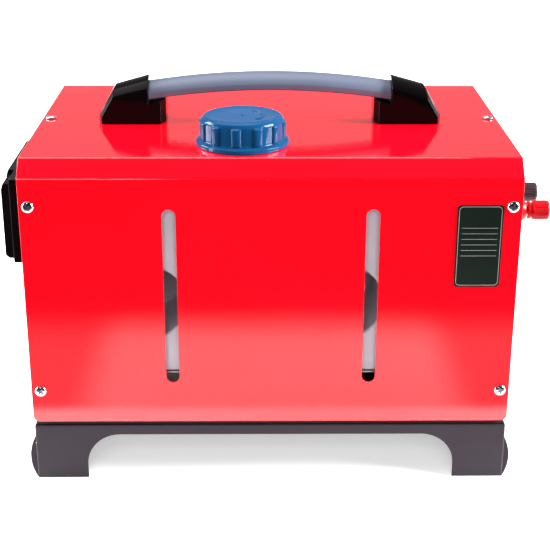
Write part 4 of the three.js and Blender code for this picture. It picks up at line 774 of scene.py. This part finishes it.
# ------------------------------------------------------------------ terminals
# Two binding posts on the right side, red in front and black behind: a bulged foot, a brass
# stud with a plated washer, a loose clamp ring, and a fluted knob that screws down on it.
POST_X, POST_Z = 195.0, 227.0
POSTS = {"red": 27.0, "black": 75.0}
FOOT = [  # radius and height from the side of the case, as in the lists below
    (3.3, 0), (8.6, 0), (9.0, 0.5), (9.0, 3.0), (8.7, 4.2), (8.0, 5.9), (7.3, 7.2), (6.8, 7.6),
    (3.3, 7.6)]
STUD = [
    (3, -15), (3, 7.9), (5.8, 7.9), (6.0, 8.1), (6.0, 8.5), (5.8, 8.7), (3, 8.7), (3, 21.0),
    (0, 21.0)]
RING = [(3.3, 9.0), (6.7, 9.0), (7.2, 9.4), (7.2, 10.9), (6.7, 11.4), (3.3, 11.4)]
KNOB = [
    (3.3, 11.7, 0), (5.9, 11.7, 0), (5.9, 13.1, 0), (7.5, 13.1, 0), (7.9, 13.5, 0.4),
    (7.9, 14.2, 1), (7.9, 20.0, 1), (7.9, 24.2, 1), (7.7, 25.0, 0.7), (7.2, 25.8, 0.2),
    (6.5, 26.2, 0), (5.6, 26.3, 0), (5.0, 26.0, 0), (0, 25.9, 0)]
FLUTES, FLUTE_DEPTH = 18, 0.42
KNOB_BORE, BORE_END = 3.3, 21.6
ALONG_X = Matrix.Rotation(math.pi / 2, 4, "Y")


def flute(angle):
    """Rounded flutes between narrow flat lands."""
    return -FLUTE_DEPTH * max(0, math.cos(FLUTES * angle)) ** 0.8


brass = finish(
    "nickelled_brass", (0.66, 0.56, 0.36), (0.80, 0.72, 0.52), (0.18, 0.3), plating, {}, 3,
    metallic=1.0)
red_plastic = finish(
    "red_post_plastic", (0.30, 0.002, 0.005), (0.40, 0.005, 0.010), (0.2, 0.3), moulded,
    {"Grain Size": 0.0009}, 5, ior=1.35)
grey_plastic = finish(
    "dark_post_plastic", (0.018, 0.015, 0.017), (0.032, 0.027, 0.030), (0.25, 0.35), moulded,
    {"Grain Size": 0.0009}, 5, ior=1.35)
for colour, setback in POSTS.items():
    plastic = red_plastic if colour == "red" else grey_plastic
    slot = "red_plastic" if colour == "red" else "dark_plastic"
    knob_blank = turned(KNOB, 216, flute)
    knob_thread = turned([(KNOB_BORE, 10), (KNOB_BORE, BORE_END), (0, BORE_END)], 32)
    stages = [
        (turned(FOOT, 72, closed=True), "terminal_base", "foot", "root", slot, plastic),
        (turned(STUD, 48), "terminal_stud", "stud", "root", "brass", brass),
        (turned(RING, 72, closed=True), "clamp_ring", "ring", f"{colour}_ring", slot, plastic),
        (carved(knob_blank, knob_thread), "terminal_knob", "knob", f"{colour}_knob", slot, plastic),
    ]
    for mesh, node, word, body, slot_name, material in stages:
        mesh.materials.clear()
        piece = new_piece(f"{colour}_post_{word}", mesh, 35)
        piece.matrix_world = Matrix.Translation(spot(POST_X, setback, POST_Z)) @ ALONG_X
        settle(piece, f"{colour}_{node}", body, slot_name, material)

# ------------------------------------------------------------------ warm-air outlet
# A black plastic flange on the left side with a collar that runs back to the heater core,
# and a louver inside it that turns to aim the air.
CORE_Y, CORE_Z = 176.0, 125.0
OUTLET_RING = [
    (36, -201), (49.0, -201), (49.7, -200.7), (50, -200), (50, -195.3), (49.7, -195), (40, -195),
    (40, -150.3), (36, -150.3)]
LOUVER_RIM = [(32.4, -201), (34.9, -201), (35.4, -200.5), (35.4, -193), (32.4, -193)]
SLATS, SLAT_TILT, SLAT_THICK, SLAT_DEEP = 5, 30.0, 1.6, 7.0
RIM_RADIUS, RIM_WALL, SLAT_PLACE = 35.4, 3.0, -0.197


def core_piece(name, mesh, smooth=35):
    """A piece turned about the heater core's axis, drawn with its heights as case x."""
    piece = new_piece(name, mesh, smooth)
    piece.matrix_world = Matrix.Translation(spot(0, CORE_Y, CORE_Z)) @ ALONG_X
    return piece


ring_piece = core_piece("outlet_flange", turned(OUTLET_RING, 128, closed=True))
settle(ring_piece, "outlet_ring", "root", "black_plastic", satin_black)
louver_parts = [(turned(LOUVER_RIM, 128, closed=True), 0)]
tilt = math.radians(SLAT_TILT)
lean = (SLAT_DEEP * math.sin(tilt) + SLAT_THICK) / 2
for index in range(SLATS):
    place = (index - (SLATS - 1) / 2) * 2 * (RIM_RADIUS - RIM_WALL) / SLATS
    half = math.sqrt(RIM_RADIUS ** 2 - (abs(place) + lean) ** 2) - RIM_WALL / 2
    slat = cuboid(-SLAT_THICK / 2, SLAT_THICK / 2, -half, half, -SLAT_DEEP / 2, SLAT_DEEP / 2)
    seat = Matrix.Translation((place / 1000, 0, SLAT_PLACE))
    slat.transform(seat @ Matrix.Rotation(tilt, 4, "Y"))
    louver_parts.append((slat, 0))
louver = core_piece("turning_louver", merged(*louver_parts))
settle(louver, "outlet_louver", "louver", "black_plastic", satin_black)

# ------------------------------------------------------------------ mains inlet and switch
# A black inlet module in the back of the case, with three plated pins in its socket and a
# red rocker switch above.
INLET_EDGE, ROCKER_EDGE = 0.6, 0.5
PIN_SPAN, PIN_FRONT, PIN_BACK, PIN_TOP, PIN_FLOOR = 8.5, 246, 259.8, 222.0, 212.0
INLET_X = 135
pin_metal = finish(
    "plated_pin", (0.6, 0.6, 0.58), (0.78, 0.78, 0.76), (0.2, 0.3), plating, {}, 3,
    metallic=1.0)
inlet = rounded_copy("mains_inlet", "mains_module", INLET_EDGE)
inlet.data.materials.append(satin_black)
inlet.data.materials.append(pin_metal)
pin_x = spot(INLET_X, 0, 0).x
pin_low, pin_high = spot(0, PIN_FRONT, PIN_FLOOR), spot(0, PIN_BACK, PIN_TOP)
for face in inlet.data.polygons:
    centre = face.center
    inside = pin_low.y < centre.y < pin_high.y and pin_low.z < centre.z < pin_high.z
    if inside and abs(centre.x - pin_x) * 1000 < PIN_SPAN:
        face.material_index = 1
settle(inlet, "mains_inlet", "root", "black_plastic")
switch_plastic = finish(
    "red_rocker_plastic", (0.40, 0.006, 0.012), (0.52, 0.010, 0.020), (0.2, 0.3), moulded,
    {"Grain Size": 0.001}, 4)
rocker = rounded_copy("mains_switch", "rocker", ROCKER_EDGE)
settle(rocker, "mains_switch", "rocker", "switch_plastic", switch_plastic)

# ------------------------------------------------------------------ heater core
# Two black plastic half shells hold a finned aluminium heat exchanger, the burner with its
# glow plug, the fuel inlet, and a motor that turns the fan and the combustion impeller.
# Its castings have a porous skin under slow clouds, its sheet steel long brushed lines.
CLOUDS_PER_METRE, LINE_STRETCH = 60, 0.03
cast, spots, given, result = texture_group("cast_skin", {"Pore Size": 0.0015})
cast.links.new(waves(cast, spots, given["Pore Size"], 5, 0.7), result["Height"])
cast.links.new(noise(cast, spots, CLOUDS_PER_METRE, 3), result["Tone"])
brushed, spots, given, result = texture_group("brushed_sheet", {"Line Size": 0.0003})
stretch = brushed.nodes.new("ShaderNodeMapping")
stretch.inputs["Scale"].default_value = (LINE_STRETCH, 1, 1)
brushed.links.new(spots, stretch.inputs["Vector"])
lines = waves(brushed, stretch.outputs["Vector"], given["Line Size"], 2)
brushed.links.new(lines, result["Height"])
brushed.links.new(lines, result["Tone"])

cast_aluminium = finish(
    "cast_aluminium", (0.42, 0.43, 0.44), (0.56, 0.57, 0.58), (0.42, 0.58), cast, {}, 60,
    metallic=0.9)
steel = finish(
    "brushed_steel", (0.46, 0.47, 0.48), (0.60, 0.61, 0.62), (0.28, 0.42), brushed, {}, 6,
    metallic=1.0)
for node in ("heat_exchanger", "combustion_housing", "combustion_impeller"):
    dress(node, cast_aluminium)
for node in ("burner", "glow_plug", "blower_motor", "fuel_pump", "pump_plunger"):
    dress(node, steel)
for node in ("heater_lower_shell", "heater_upper_shell", "fan_wheel"):
    dress(node, satin_black)
board_lacquer = finish(
    "green_lacquer", (0.008, 0.09, 0.035), (0.015, 0.14, 0.055), (0.25, 0.4), moulded,
    {"Grain Size": 0.003}, 20)
dress("control_board", board_lacquer)

# ------------------------------------------------------------------ air stubs and inlet guard
# The steel exhaust stub and the plastic intake stub point down through the base, and a ring
# guard covers the fan's side of the core.
STUB_OUTER, STUB_INNER, STUB_EASE, GUARD_EDGE = 12.0, 10.0, 0.3, 0.6
STUBS = (("exhaust_pipe", steel, "exhaust"), ("intake_pipe", satin_black, "intake"))
for node, material, word in STUBS:
    low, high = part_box(node)
    rise = (high.z - low.z) * 1000
    tube = turned([
        (STUB_INNER, 0), (STUB_OUTER - STUB_EASE, 0), (STUB_OUTER, STUB_EASE), (STUB_OUTER, rise),
        (STUB_INNER, rise)], 64, closed=True)
    stub = new_piece(f"{word}_stub", tube)
    stub.matrix_world = Matrix.Translation(((low.x + high.x) / 2, (low.y + high.y) / 2, low.z))
    settle(stub, node, "root", "steel" if word == "exhaust" else "black_plastic", material)
guard = rounded_copy("inlet_guard", "fan_guard", GUARD_EDGE)
settle(guard, "inlet_guard", "root", "black_plastic", satin_black)

# ------------------------------------------------------------------ fuel line, shelves and supply
# Folded steel benches carry the tank and the mains supply. The tank drains through a brass
# fitting and a clear filter to the dosing pump.
SHEET_EDGE = 0.3
dress("tank_outlet", brass)
filter_plastic = finish(
    "clear_filter_plastic", (0.62, 0.65, 0.64), (0.78, 0.80, 0.79), (0.2, 0.3), milky,
    {"Flow Size": 0.01}, 60)
dress("fuel_filter", filter_plastic)
for node in ("tank_shelf", "supply_shelf", "power_supply"):
    sheet = rounded_copy(node, f"folded_{node}", SHEET_EDGE)
    settle(sheet, node, "root", "steel", steel)
